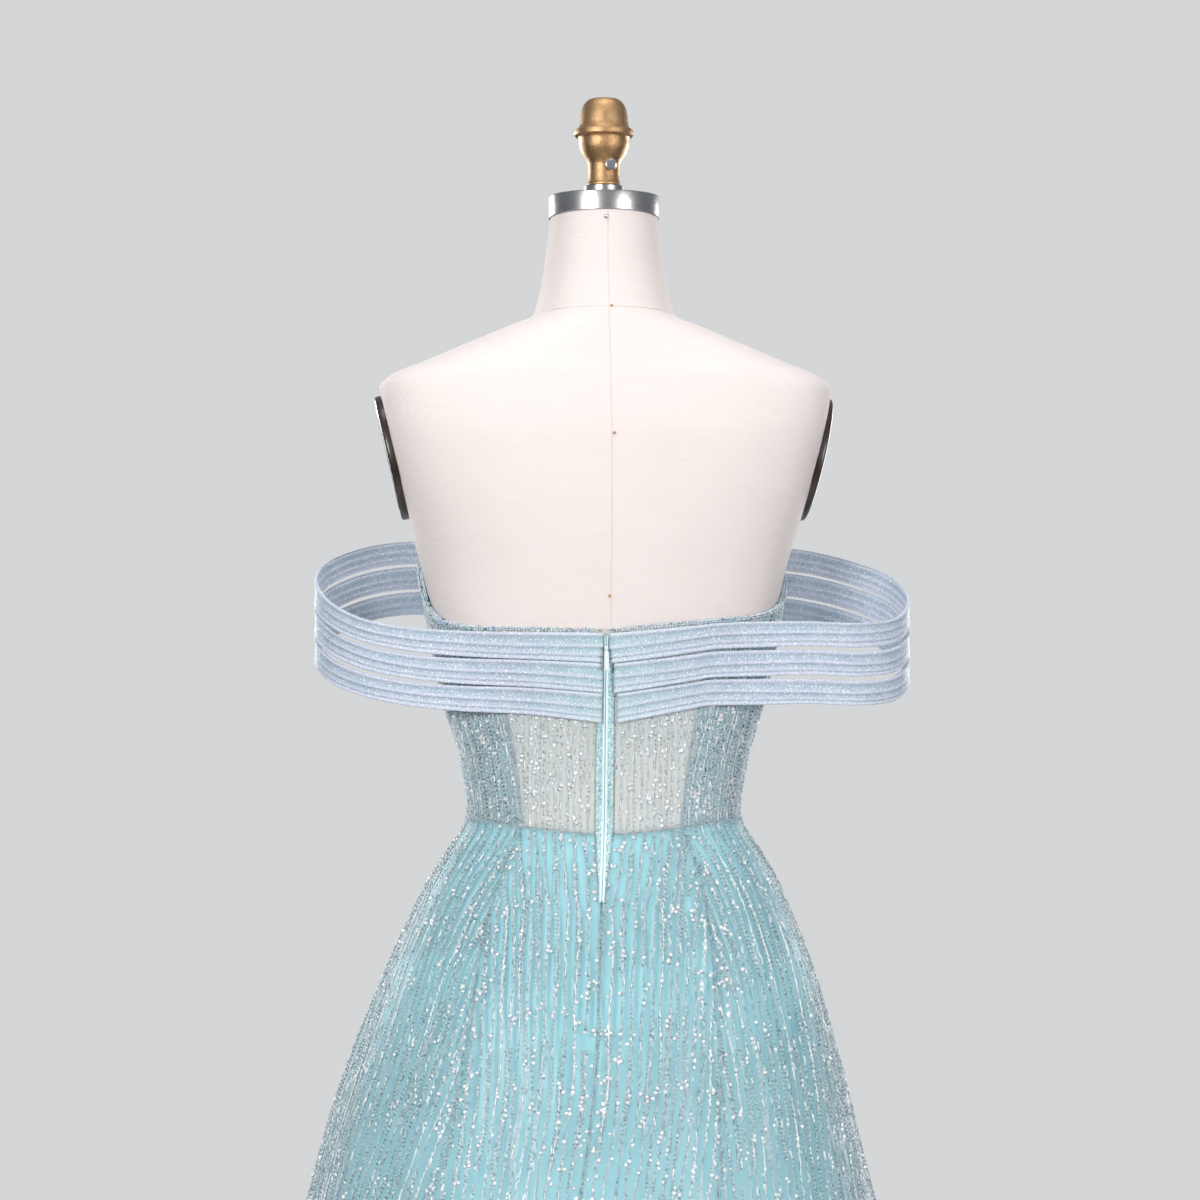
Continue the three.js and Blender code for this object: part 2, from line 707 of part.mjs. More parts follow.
// The body of the dress form, with a flat side at each arm.
function torso() {
  const rings = FORM.map(({ height }) =>
    ringOf(SIDES.form, (a) => {
      const angle = THREE.MathUtils.radToDeg(a);
      return offSurface(formRadius, height, angle, height < bodiceEdge(angle) ? -FORM_EASE : 0);
    }),
  );
  rings.at(-1).forEach((point) => {
    point.z += NECK_SLOPE * point.y;
  });
  const cutter = (side) => {
    const { thick, deep, tall } = CUTTER;
    const block = new THREE.BoxGeometry(thick, deep, tall).translate((side * thick) / 2, 0, 0);
    block.rotateY(side * Math.atan(ARM_PLANE.lean));
    return asSolid(block.translate(side * ARM_PLANE.reach, 0, ARM_PLANE.height));
  };
  const whole = asSolid(loft(rings, false));
  add("form_torso", asGeometry(whole.subtract(cutter(1)).subtract(cutter(-1))), "linen");
}

// An oval plate with a rounded rim, over each flat side of the form.
function armPlates() {
  const layers = table(["rise", "shrink"], [0, 0], [3.2, 0], [5.45, 1.5], [6.2, 4.8]);
  for (const [name, side] of [["left", 1], ["right", -1]]) {
    const rings = layers.map(({ rise, shrink }) =>
      ringOf(SIDES.plate, (a) => {
        const [wide, tall] = [PLATE.wide - shrink, PLATE.tall - shrink];
        return new THREE.Vector3(side * rise, wide * Math.sin(a), tall * Math.cos(a));
      }),
    );
    const reach = ARM_PLANE.reach + ARM_PLANE.lean * (PLATE.height - ARM_PLANE.height) + SEAM;
    const seat = new THREE.Group();
    seat.position.set(side * reach, 0, PLATE.height);
    seat.rotation.y = side * Math.atan(ARM_PLANE.lean);
    add(`form_arm_plate_${name}`, loft(rings, false), "wood", seat);
    gown.add(seat);
  }
}

// The steel cap over the neck. Its lower edge rises towards the back with the neck's upper end.
function neckCap() {
  const rows = table(
    ["rise", "radius", "slope"],
    [0, CAP_RADIUS, NECK_SLOPE],
    [CAP_HEIGHT - CAP_EDGE, CAP_RADIUS, 0],
    [CAP_HEIGHT, CAP_RADIUS - CAP_EDGE, 0],
  );
  const rings = rows.map(({ rise, radius, slope }) =>
    ringOf(SIDES.cap, (a) => {
      const [x, y] = [radius * Math.sin(a), radius * Math.cos(a)];
      return new THREE.Vector3(x, y, NECK_TOP + SEAM + rise + slope * y);
    }),
  );
  add("form_neck_cap", loft(rings, false), "steel");
}

// A solid of revolution from a table of radius and height, raised to stand at a level.
function turned(rows, foot, sides) {
  const rings = rows.map(({ radius, height }) =>
    ringOf(sides, (a) => new THREE.Vector3(radius * Math.sin(a), radius * Math.cos(a), foot + height)),
  );
  return loft(rings, false);
}

// The cast finial above the cap: a washer, a plain socket with its set screw, a bowl, a rim and a domed head.
function finial() {
  const seat = NECK_TOP + SEAM + CAP_HEIGHT + SEAM;
  const washer = table(["height", "radius"], [0, WASHER.radius], [WASHER.height, WASHER.radius]);
  add("form_cap_washer", turned(washer, seat, SIDES.fitting), "steel");
  const foot = seat + WASHER.height + SEAM;
  const head = table(
    ["height", "radius"],
    [0, 14.6],
    [2, 14.6],
    [3, SOCKET_RADIUS],
    [18.2, SOCKET_RADIUS],
    [22.2, 15.1],
    [27.5, 18.5],
    [33.8, 21.2],
    [41.2, 21.5],
    [43.5, 25.7],
    [48, 25.7],
    [52.2, 21.3],
    [57, 20.9],
    [65.2, 19.3],
    [70.8, 16.5],
    [75.1, 11.9],
  );
  add("form_finial", turned(head, foot, SIDES.fitting), "gold");
  const screw = [
    { height: SOCKET_RADIUS + SCREW.sunk, radius: SCREW.shank },
    { height: SCREW.out, radius: SCREW.shank },
    { height: SCREW.out, radius: SCREW.radius },
    { height: SCREW.out + SCREW.head - SCREW.rounding, radius: SCREW.radius },
    { height: SCREW.out + SCREW.head, radius: SCREW.radius - SCREW.rounding },
  ];
  const solid = turned(screw, 0, SIDES.screw).rotateX(-Math.PI / 2);
  add("form_set_screw", solid.translate(SCREW.aside, 0, foot + SCREW.rise), "steel");
}

// The pole under the form, and the round foot that it stands in.
function stand() {
  const pole = table(["height", "radius"], [STAND_TOP + SEAM, POLE_RADIUS], [FORM_BOTTOM - SEAM, POLE_RADIUS]);
  add("stand_pole", turned(pole, 0, SIDES.fitting), "gold");
  const foot = table(["height", "radius"], [0, 225], [9, 225], [14, 68], [23, 34], [46, 24], [STAND_TOP, 24]);
  add("stand_base", turned(foot, 0, SIDES.foot), "gold");
}

netBodice();
bodiceLining();
netSkirt();
skirtLining();
bands();
zipTape();
sliderAndPull();
torso();
armPlates();
neckCap();
finial();
stand();

export default gown;
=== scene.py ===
"""Finishes a beaded evening gown with three off-the-shoulder bands, on a dress form with a round foot.

Tables are in millimetres, as the gown was cut. Meshes are in metres.
Angles are in degrees from the centre back, towards the wearer's left.
"""

import json
import logging
import math
from collections.abc import Callable, Sequence
from dataclasses import dataclass
from enum import Enum

import bpy
import numpy as np
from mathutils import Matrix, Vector


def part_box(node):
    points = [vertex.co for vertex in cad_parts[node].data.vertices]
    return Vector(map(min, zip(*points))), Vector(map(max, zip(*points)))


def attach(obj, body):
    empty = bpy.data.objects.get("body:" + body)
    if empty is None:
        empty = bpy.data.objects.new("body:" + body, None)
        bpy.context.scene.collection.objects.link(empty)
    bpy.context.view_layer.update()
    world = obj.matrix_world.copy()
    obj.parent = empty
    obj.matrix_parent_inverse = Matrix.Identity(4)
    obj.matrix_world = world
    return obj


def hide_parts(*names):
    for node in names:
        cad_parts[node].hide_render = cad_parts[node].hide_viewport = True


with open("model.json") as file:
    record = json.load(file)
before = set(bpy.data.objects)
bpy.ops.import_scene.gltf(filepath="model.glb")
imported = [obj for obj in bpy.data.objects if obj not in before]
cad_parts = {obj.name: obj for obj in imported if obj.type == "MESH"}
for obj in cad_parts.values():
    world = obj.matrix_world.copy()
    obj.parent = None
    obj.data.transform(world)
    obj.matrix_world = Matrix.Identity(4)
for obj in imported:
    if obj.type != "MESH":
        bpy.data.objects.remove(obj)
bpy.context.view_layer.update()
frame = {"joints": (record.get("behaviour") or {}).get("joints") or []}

LOG = logging.getLogger("gown")
Array = np.ndarray
Line = Callable[[Array], Array]
Socket = bpy.types.NodeSocket
MM = 0.001

WAIST = 1050.0
WAIST_DIP = 10.0
NET_HEM = 12.0
LINING_HEM = 24.0
FORM_BOTTOM = 790.0
NECK_TOP = 1562.0
ZIP_TOP = 1206.0
ZIP_BOTTOM = 986.0
SLIDER_TOP = 1197.0
SEAM = 0.3
LINING_OUT = 2.7
NET_OUT = 4.2
BAND_OFF = 5.6
NET_WALL = 1.2
NET_THICK = 0.35
SATIN_THICK = 0.8
FORM_EASE = 1.8
NECK_SLOPE = 0.063
CAP_TOP = 1581.8


class Side(Enum):
    """The wearer's two sides, as the sign of X."""

    LEFT = 1
    RIGHT = -1


class Table:
    """Rows with named columns, read at any place of the first one on a smooth curve that stays between them."""

    def __init__(self, columns: str, *rows: Sequence[float]) -> None:
        """Sorts the rows by their first column.

        Args:
            columns: The columns' names, with spaces between them.
            rows: The rows, each with a number for every column.
        """
        grid = np.array(sorted(rows), float)
        self.places = grid[:, 0]
        self.columns = {name: grid[:, i] for i, name in enumerate(columns.split())}

    def read(self, column: str, place: Array | float) -> Array:
        """Reads a column at places between the rows.

        Args:
            column: The column's name.
            place: Where, in the first column's numbers.

        Returns:
            The values, in the shape of the places.
        """
        x, y = self.places, self.columns[column]
        slope = np.diff(y) / np.diff(x)
        product = slope[:-1] * slope[1:]
        total = np.where(product > 0, slope[:-1] + slope[1:], 1)
        tangent = np.concatenate(([slope[0]], np.where(product > 0, 2 * product / total, 0), [slope[-1]]))
        held = np.clip(place, x[0], x[-1])
        i = np.clip(np.searchsorted(x, held, side="right") - 1, 0, len(x) - 2)
        span = x[i + 1] - x[i]
        t = (held - x[i]) / span
        return (
            y[i] * (1 + 2 * t) * (1 - t) ** 2
            + y[i + 1] * t * t * (3 - 2 * t)
            + span * tangent[i] * t * (1 - t) ** 2
            + span * tangent[i + 1] * t * t * (t - 1)
        )


FORM = Table(
    "height half back front square",
    (NECK_TOP, 46.5, 47, 46, 2),
    (1536, 49.5, 50, 47, 2),
    (1510, 53.3, 54, 49, 2),
    (1490, 57.5, 60, 52, 2.05),
    (1479, 61, 64, 55, 2.1),
    (1469, 84, 68, 60, 2.3),
    (1453, 121.6, 74, 66, 2.6),
    (1437, 158, 79, 72, 3),
    (1427, 182, 83, 77, 3.2),
    (1416, 193, 86, 82, 3.2),
    (1400, 195, 90, 88, 3.1),
    (1372, 190, 95, 96, 3),
    (1330, 178, 96, 105, 2.8),
    (1300, 168, 95, 109, 2.6),
    (1258, 155.4, 91, 111, 2.4),
    (1217, 147.2, 86, 107, 2.35),
    (1180, 140.5, 82, 102, 2.3),
    (1140, 131.3, 77.8, 96, 2.3),
    (1100, 119.8, 75.6, 91, 2.25),
    (1062, 113.6, 76, 89, 2.2),
    (1045, 112.6, 76.6, 89.6, 2.2),
    (1015, 121, 86, 95, 2.2),
    (985, 135, 96, 100, 2.2),
    (940, 156, 108, 106, 2.2),
    (880, 170, 115, 108, 2.2),
    (FORM_BOTTOM, 164, 102, 96, 2.2),
)
SKIRT = Table(
    "height half back front square shift",
    (1052, 117.4, 81, 94.2, 2.2, 0),
    (1040, 121, 82.8, 97.5, 2.2, 0),
    (1022, 133.5, 96, 108, 2.2, 0),
    (988, 153.5, 117, 124, 2.2, 1),
    (962, 165.3, 130, 135, 2.2, 2),
    (930, 179, 145, 147, 2.2, 3),
    (900, 190, 157, 158, 2.15, 4),
    (850, 207, 176, 175, 2.1, 7),
    (800, 221.5, 194, 191, 2.1, 9),
    (740, 237, 214, 208, 2.05, 10),
    (500, 298, 290, 279, 2, 6),
    (250, 356, 356, 352, 2, 2),
    (NET_HEM, 408, 412, 408.8, 2, -0.9),
)
LINING_INSET = Table(
    "height inset",
    (1052, 0),
    (1000, 1.5),
    (930, 4),
    (898, 6),
    (848, 12),
    (790, 20),
    (736, 25),
    (NET_HEM, 30),
)
LINING_GAP = 0.9
LINING_FOLD_SHARE = 0.6
FOLDS = Table(
    "angle width depth",
    (19, 9, 24),
    (41, 8, 17),
    (66, 10, 22),
    (93, 11, 26),
    (119, 9, 18),
    (141, 9, 24),
    (167, 10, 20),
    (192, 9, 22),
    (216, 10, 19),
    (240, 9, 25),
    (267, 11, 24),
    (294, 10, 19),
    (318, 8, 20),
    (344, 10, 26),
)
FOLD_TOP = 1010.0
FOLD_GROWTH = 0.95
# Creases of the satin skirt: angle at the upper end, how far it drifts, heights, width in degrees and depth.
CREASES = Table(
    "angle drift top low width depth",
    (5.2, 7, 880, 520, 1.8, -2.5),
    (15, 4, 960, 640, 2.6, 2.5),
    (31, 5, 930, 520, 2.4, -3.5),
    (52, 4, 985, 560, 2.8, 3),
    (74, 6, 900, 380, 2.6, -4),
    (104, 4, 950, 500, 3, 3.5),
    (129, 3, 930, 420, 2.4, -4),
    (153, 5, 880, 520, 2.6, 3),
    (178, -4, 940, 450, 2.4, -4),
    (204, -3, 960, 600, 2.8, 2.5),
    (229, -5, 900, 400, 2.6, -3.5),
    (252, -4, 950, 560, 2.4, 3),
    (279, -6, 910, 470, 2.8, -4),
    (305, -4, 975, 540, 2.6, 3),
    (331, -5, 940, 600, 2.2, -3.5),
    (354, 3, 890, 480, 2.4, -3),
)
PRINCESS = Table("height angle", (NET_HEM, 28), (736, 31), (900, 36), (1040, 44.5), (1150, 50), (1300, 51))
# How far the gown sits turned on the form, with its zip and its seams.
TURN = Table(
    "height turn", (NET_HEM, 10), (722, 10), (856, 6.1), (ZIP_BOTTOM, 4.9), (WAIST, 3.9), (ZIP_TOP, 2.9)
)
TOP_EDGE = Table(
    "angle left right",
    (0, 1210.5, 1210.5),
    (35, 1211.5, 1216),
    (62, 1212.5, 1221),
    (73, 1217, 1226),
    (82, 1228, 1235),
    (90, 1246, 1247),
    (105, 1268, 1266),
    (125, 1287, 1285),
    (145, 1294, 1293),
    (165, 1293, 1293),
    (180, 1289, 1289),
)
LAID = {
    Side.LEFT: Table(
        "angle top step width",
        (0, 1207.6, 25.6, 25.2),
        (20, 1208.3, 24.6, 24.2),
        (48, 1208.6, 23.2, 22.6),
        (132, 1287, 22.2, 21.6),
        (150, 1289.5, 22.2, 21.6),
        (180, 1284.5, 22.4, 22),
    ),
    Side.RIGHT: Table(
        "angle top step width",
        (0, 1207.6, 25.6, 25.2),
        (20, 1210, 24.8, 24),
        (48, 1215.5, 24, 22.2),
        (132, 1285, 22.2, 21.6),
        (150, 1288, 22.2, 21.6),
        (180, 1284.5, 22.4, 22),
    ),
}
LEAVES = 48.0
LANDS = 132.0
LOOP_COLUMNS = "order x y top step width"
LOOP = {
    Side.LEFT: Table(
        LOOP_COLUMNS,
        (1, 128, 62, 1209.5, 23, 21.2),
        (2, 170, 48, 1212.5, 23, 20),
        (3, 207, 32, 1220, 23, 19.8),
        (4, 234, 11, 1234, 23.8, 20.8),
        (5, 246, -14, 1252, 24.6, 22),
        (6, 238, -42, 1267, 24, 21),
        (7, 212, -66, 1279, 23, 19.9),
        (8, 176, -84, 1286, 22.5, 19.8),
    ),
    Side.RIGHT: Table(
        LOOP_COLUMNS,
        (1, 128, 64, 1217, 24.2, 21.8),
        (2, 172, 54, 1217, 24.4, 21),
        (3, 217, 42, 1215.5, 24.6, 20.9),
        (4, 250, 20, 1220, 24.6, 21.3),
        (5, 265, -10, 1237, 24.6, 22.4),
        (6, 254, -42, 1256, 23.6, 21.6),
        (7, 222, -68, 1270, 22.8, 20.6),
        (8, 180, -84, 1280, 22.5, 20.4),
    ),
}
BAND_WIDE = 22.2
BAND_MAP = 40.0
BAND_ENDS = {Side.LEFT: (2.4, 2.8, 3.4), Side.RIGHT: (2.4, 6.5, 9.5)}


def bell(offset: Array, width: Array | float) -> Array:
    """A soft bump of height 1 that fades over a width."""
    return np.exp(-((offset / width) ** 2))


def between(a: Array, b: Array | float) -> Array:
    """The smaller angle between two directions, in degrees."""
    return np.abs((a - b + 540) % 360 - 180)


def ease(value: Array, low: float, high: float) -> Array:
    """Goes smoothly from 0 to 1 as a value goes from low to high."""
    t = np.clip((value - low) / (high - low), 0, 1)
    return t * t * (3 - 2 * t)


def section_radius(rows: Table, height: Array, angle: Array) -> Array:
    """The radius of a rounded section.

    Args:
        rows: The half width, depths and squareness at each height.
        height: Heights.
        angle: Angles.

    Returns:
        The radius at each place.
    """
    a = np.radians(angle)
    square = rows.read("square", height)
    depth = np.where(np.cos(a) > 0, rows.read("back", height), rows.read("front", height))
    wide = np.abs(np.sin(a)) / rows.read("half", height)
    deep = np.abs(np.cos(a)) / depth
    return (wide**square + deep**square) ** (-1 / square)


def form_radius(height: Array, angle: Array) -> Array:
    """The dress form's radius, with the bust."""
    mounds = bell(between(angle, 143), 25) + bell(between(angle, 217), 25)
    return section_radius(FORM, height, angle) + 23 * mounds * bell(height - 1226, 46)


def fold_depth(height: Array, angle: Array) -> Array:
    """How far the soft folds push the skirt out or in."""
    share = np.maximum(0, (FOLD_TOP - height) / (FOLD_TOP - NET_HEM)) ** FOLD_GROWTH
    rows = zip(FOLDS.places, FOLDS.columns["width"], FOLDS.columns["depth"])
    folds = sum(depth * (bell(between(angle, a), width) - width * math.sqrt(math.pi) / 360) for a, width, depth in rows)
    return folds * share


def skirt_mean(height: Array, angle: Array) -> Array:
    """The skirt's radius without its folds."""
    return section_radius(SKIRT, height, angle) + SKIRT.read("shift", height) * np.sin(np.radians(angle))


def skirt_radius(height: Array, angle: Array) -> Array:
    """The net skirt's outer radius."""
    return skirt_mean(height, angle) + fold_depth(height, angle)


def crease_depth(height: Array, angle: Array) -> Array:
    """How far the creases of the satin push it out or in."""
    depth = np.zeros(np.broadcast(height, angle).shape)
    for row in zip(*CREASES.columns.values()):
        start, drift, top, low, width, deep = row
        fall = np.clip((top - height) / (top - low), 0, 1)
        line = start + drift * fall
        depth += deep * np.sin(np.pi * fall) ** 1.3 * bell(between(angle, line), width)
    return depth


def lining_radius(height: Array, angle: Array) -> Array:
    """The satin skirt's outer radius."""
    inset = NET_WALL + LINING_GAP + LINING_INSET.read("inset", height)
    plain = skirt_mean(height, angle) - inset + LINING_FOLD_SHARE * fold_depth(height, angle)
    return plain + crease_depth(height, angle) * ease(LINING_INSET.read("inset", height), 2, 12)


def off_surface(radius_at: Callable[[Array, Array], Array], height: Array, angle: Array, out: Array | float) -> Array:
    """Points off a surface, measured level and square to it.

    Args:
        radius_at: The surface's radius at heights and angles.
        height: Heights.
        angle: Angles.
        out: The distance off the surface.

    Returns:
        The points, with X, Y and Z on the last axis.
    """

    def point(turn: float) -> Array:
        """A point of the surface a small turn away."""
        a = np.radians(angle + turn)
        r = radius_at(height, angle + turn)
        return np.stack([r * np.sin(a), r * np.cos(a)], -1)

    along = point(0.5) - point(-0.5)
    along = along / np.linalg.norm(along, axis=-1, keepdims=True)
    here = point(0)
    level = np.broadcast_to(height, here.shape[:-1])
    return np.stack([here[..., 0] - along[..., 1] * out, here[..., 1] + along[..., 0] * out, level], -1)


def angle_across(radius_at: Callable[[Array, Array], Array], height: Array, across: Array | float) -> Array:
    """The angle at which a surface is a distance to the wearer's left of the centre back."""
    return np.degrees(np.arcsin(across / radius_at(height, np.zeros_like(height))))


def zip_half(height: Array) -> Array:
    """Half of the gap that the zip fills."""
    half = SEAM + 2.2 + 5.0 * ease(height, ZIP_BOTTOM, WAIST)
    return np.where(height < ZIP_BOTTOM, SEAM / 2, half)


def waist_seam(angle: Array) -> Array:
    """The waist seam's height."""
    return WAIST - WAIST_DIP * np.maximum(0, np.cos(np.radians(angle))) ** 2


def bodice_edge(angle: Array) -> Array:
    """The height of the bodice's upper edge."""
    turned = between(angle, 0)
    left = np.mod(angle, 360) <= 180
    return np.where(left, TOP_EDGE.read("left", turned), TOP_EDGE.read("right", turned))


def turn_at(height: Array | float) -> Array:
    """How far round the form the zip is, in degrees."""
    return TURN.read("turn", height)


def zip_point(height: Array, across: Array | float, out: Array | float) -> Array:
    """Points beside the zip's line, on the bodice above the waist and on the skirt below it."""
    share = ease(height, WAIST - WAIST_DIP, WAIST)[..., None]
    turn = turn_at(height)
    skirt = off_surface(skirt_radius, height, turn + angle_across(skirt_radius, height, across), out)
    bodice = off_surface(form_radius, height, turn + angle_across(form_radius, height, across), NET_OUT + out)
    return skirt * (1 - share) + bodice * share


@dataclass(frozen=True)
class Gore:
    """A sewn panel between two seams, and the share of its width that its bead rows are counted from."""

    name: str
    near: Line
    far: Line
    zero: float = 0.5


def gores(radius_at: Callable[[Array, Array], Array]) -> list[Gore]:
    """The seven gores that the bodice and the skirt are both cut in.

    Args:
        radius_at: The radius of the surface that the seams lie on.

    Returns:
        The gores, with their seams as angles at each height.
    """

    def trimmed(line: Line, turn: int) -> Line:
        """A seam less half of its clearance."""
        return lambda h: line(h) + turn * np.degrees(SEAM / 2 / radius_at(h, np.full_like(h, 90)))

    def zip_edge(turn: int) -> Line:
        """The edge beside the zip."""
        return lambda h: turn_at(h) + turn * angle_across(radius_at, h, zip_half(h))

    def princess(turn: int, start: float = 0) -> Line:
        """A princess seam, behind the side seam or before it."""
        return lambda h: turn_at(h) + start + turn * PRINCESS.read("angle", h)

    def side(turn: int) -> Line:
        """A side seam."""
        return lambda h: turn_at(h) + turn * 90.0

    return [
        Gore("back_left", zip_edge(1), trimmed(princess(1), -1), 0),
        Gore("back_right", trimmed(princess(-1), 1), zip_edge(-1), 1),
        Gore("side_back_left", trimmed(princess(1), 1), trimmed(side(1), -1)),
        Gore("side_back_right", trimmed(side(-1), 1), trimmed(princess(-1), -1)),
        Gore("side_front_left", trimmed(side(1), 1), trimmed(princess(-1, 180), -1)),
        Gore("side_front_right", trimmed(princess(1, -180), 1), trimmed(side(-1), -1)),
        Gore("front", trimmed(princess(-1, 180), 1), trimmed(princess(1, 180), -1)),
    ]


class Cloth:
    """A panel of cloth laid out in rows down it and columns of equal width across it."""

    def __init__(
        self,
        radius_at: Callable[[Array, Array], Array],
        gore: Gore,
        top: Line,
        bottom: Line,
        out: float,
        rows: int,
        columns: int,
        crowd: float = 1.0,
    ) -> None:
        """Works out the panel's points.

        Args:
            radius_at: The surface that the panel lies on.
            gore: The seams it lies between.
            top: Its upper edge, as a height at each angle.
            bottom: Its lower edge.
            out: How far its outer side is off the surface.
            rows: How many rows of cells it has.
            columns: How many columns.
            crowd: Over 1, the rows crowd towards the upper edge.
        """
        down = np.linspace(0, 1, rows + 1)[:, None] ** crowd
        fine = np.linspace(0, 1, 2 * columns + 1)[None, :]
        height = np.full((rows + 1, 2 * columns + 1), (WAIST + float(top(np.array(0.0)))) / 2)
        for _ in range(6):
            angle = gore.near(height) + (gore.far(height) - gore.near(height)) * fine
            height = top(angle) + (bottom(angle) - top(angle)) * down
        rough = off_surface(radius_at, height, angle, out)
        run = np.cumsum(np.linalg.norm(np.diff(rough, axis=1), axis=2), axis=1)
        run = np.concatenate([np.zeros((rows + 1, 1)), run], axis=1)
        self.width = run[:, -1]
        self.zero = gore.zero
        even = np.linspace(0, 1, columns + 1)
        self.angle = np.array([np.interp(even * w, r, a) for w, r, a in zip(self.width, run, angle)])
        self.height = np.array([np.interp(even * w, r, h) for w, r, h in zip(self.width, run, height)])
        self.outer = off_surface(radius_at, self.height, self.angle, out)
        self.radius_at, self.out = radius_at, out
        steps = np.linalg.norm(np.diff(self.outer, axis=0), axis=2).mean(axis=1)
        self.fall = np.concatenate([[0], np.cumsum(steps)])
        across = np.gradient(self.outer, axis=1)
        fall = np.gradient(self.outer, axis=0)
        self.normal = np.cross(across, fall)
        self.normal /= np.linalg.norm(self.normal, axis=2, keepdims=True)
        self.right = across / np.linalg.norm(across, axis=2, keepdims=True)

    def mesh(self, name: str, thick: float) -> bpy.types.Object:
        """Makes the panel as a thin closed shell, with a UV map in metres of cloth."""
        inner = off_surface(self.radius_at, self.height, self.angle, self.out - thick)
        share = np.linspace(0, 1, self.outer.shape[1])[None, :] - self.zero
        across = share * self.width[:, None]
        down = np.repeat(self.fall[:, None], self.outer.shape[1], axis=1)
        return shell(name, self.outer, inner, across, down)

    def area(self) -> float:
        """The flat area, in square metres."""
        return float(np.trapz(self.width, self.fall)) * MM * MM

    def flat(self) -> tuple[float, float]:
        """The width and length of the cloth it is cut from, in metres."""
        return float(self.width.max()) * MM, float(self.fall[-1]) * MM

    def share_of(self, across: Array, fall: Array) -> tuple[Array, Array]:
        """Turns places in millimetres of cloth into shares of the width, and rows.

        Args:
            across: Distances across, from the panel's own line.
            fall: Distances down.

        Returns:
            The share of the width, and the row as a fraction.
        """
        width = np.interp(fall, self.fall, self.width)
        row = np.interp(fall, self.fall, np.arange(len(self.fall)))
        return self.zero + across / width, row

    def at(self, grid: Array, share: Array, row: Array) -> Array:
        """Reads a grid of the panel at shares of its width and rows."""
        column = np.clip(share, 0, 1) * (grid.shape[1] - 1)
        r = np.clip(row.astype(int), 0, grid.shape[0] - 2)
        c = np.clip(column.astype(int), 0, grid.shape[1] - 2)
        fr, fc = (row - r), (column - c)
        if grid.ndim == 3:
            fr, fc = fr[:, None], fc[:, None]
        upper = grid[r, c] * (1 - fc) + grid[r, c + 1] * fc
        lower = grid[r + 1, c] * (1 - fc) + grid[r + 1, c + 1] * fc
        return upper * (1 - fr) + lower * fr


def new_mesh(name: str, points: Array, faces: Array) -> bpy.types.Object:
    """Makes an object from points in millimetres and faces of equal size.

    Args:
        name: The piece's name.
        points: Its points.
        faces: The corners of each face, a row for each.

    Returns:
        The new object.
    """
    mesh = bpy.data.meshes.new(name)
    mesh.vertices.add(len(points))
    mesh.vertices.foreach_set("co", (points * MM).astype(np.float32).ravel())
    mesh.loops.add(faces.size)
    mesh.loops.foreach_set("vertex_index", faces.astype(np.int32).ravel())
    mesh.polygons.add(len(faces))
    mesh.polygons.foreach_set("loop_start", np.arange(0, faces.size, faces.shape[1], dtype=np.int32))
    mesh.update(calc_edges=True)
    mesh.validate()
    piece = bpy.data.objects.new(name, mesh)
    bpy.context.scene.collection.objects.link(piece)
    return piece


def shell(name: str, outer: Array, inner: Array, across: Array, down: Array) -> bpy.types.Object:
    """Makes a closed shell from its two sides, which are grids of points.

    Args:
        name: The piece's name.
        outer: The outer side.
        inner: The inner side.
        across: The UV map's first number for each point of a side, in millimetres.
        down: Its second number.

    Returns:
        The new object, with smooth faces that point outwards.
    """
    rows, columns = outer.shape[:2]
    index = np.arange(rows * columns).reshape(rows, columns)
    corners = (index[:-1, :-1], index[:-1, 1:], index[1:, 1:], index[1:, :-1])
    front = np.stack([c.ravel() for c in corners], 1)
    back = front[:, ::-1] + rows * columns
    rim = np.concatenate([index[0, :], index[1:, -1], index[-1, -2::-1], index[-2:0:-1, 0]])
    after = np.roll(rim, -1)
    edge = np.stack([rim, rim + rows * columns, after + rows * columns, after], 1)
    points = np.concatenate([outer.reshape(-1, 3), inner.reshape(-1, 3)])
    faces = np.concatenate([front, back, edge])
    a, b, c = (points[faces[:, i]] for i in range(3))
    d = points[faces[:, 3]]
    volume = np.einsum("ij,ij->", a, np.cross(b, c)) + np.einsum("ij,ij->", a, np.cross(c, d))
    if volume < 0:
        faces = faces[:, ::-1]
    piece = new_mesh(name, points, faces)
    flat = np.stack([across.ravel(), down.ravel()], 1) * MM
    flat = np.concatenate([flat, flat])
    layer = piece.data.uv_layers.new(name="cloth")
    used = np.zeros(len(piece.data.loops), np.int32)
    piece.data.loops.foreach_get("vertex_index", used)
    layer.data.foreach_set("uv", flat[used].astype(np.float32).ravel())
    piece.data.shade_smooth()
    sharp_rim(piece, len(front) * 2)
    return piece


def sharp_rim(piece: bpy.types.Object, first: int) -> None:
    """Marks the faces of a shell's rim as flat, so that the cut edge stays crisp."""
    smooth = np.ones(len(piece.data.polygons), bool)
    smooth[first:] = False
    piece.data.polygons.foreach_set("use_smooth", smooth)


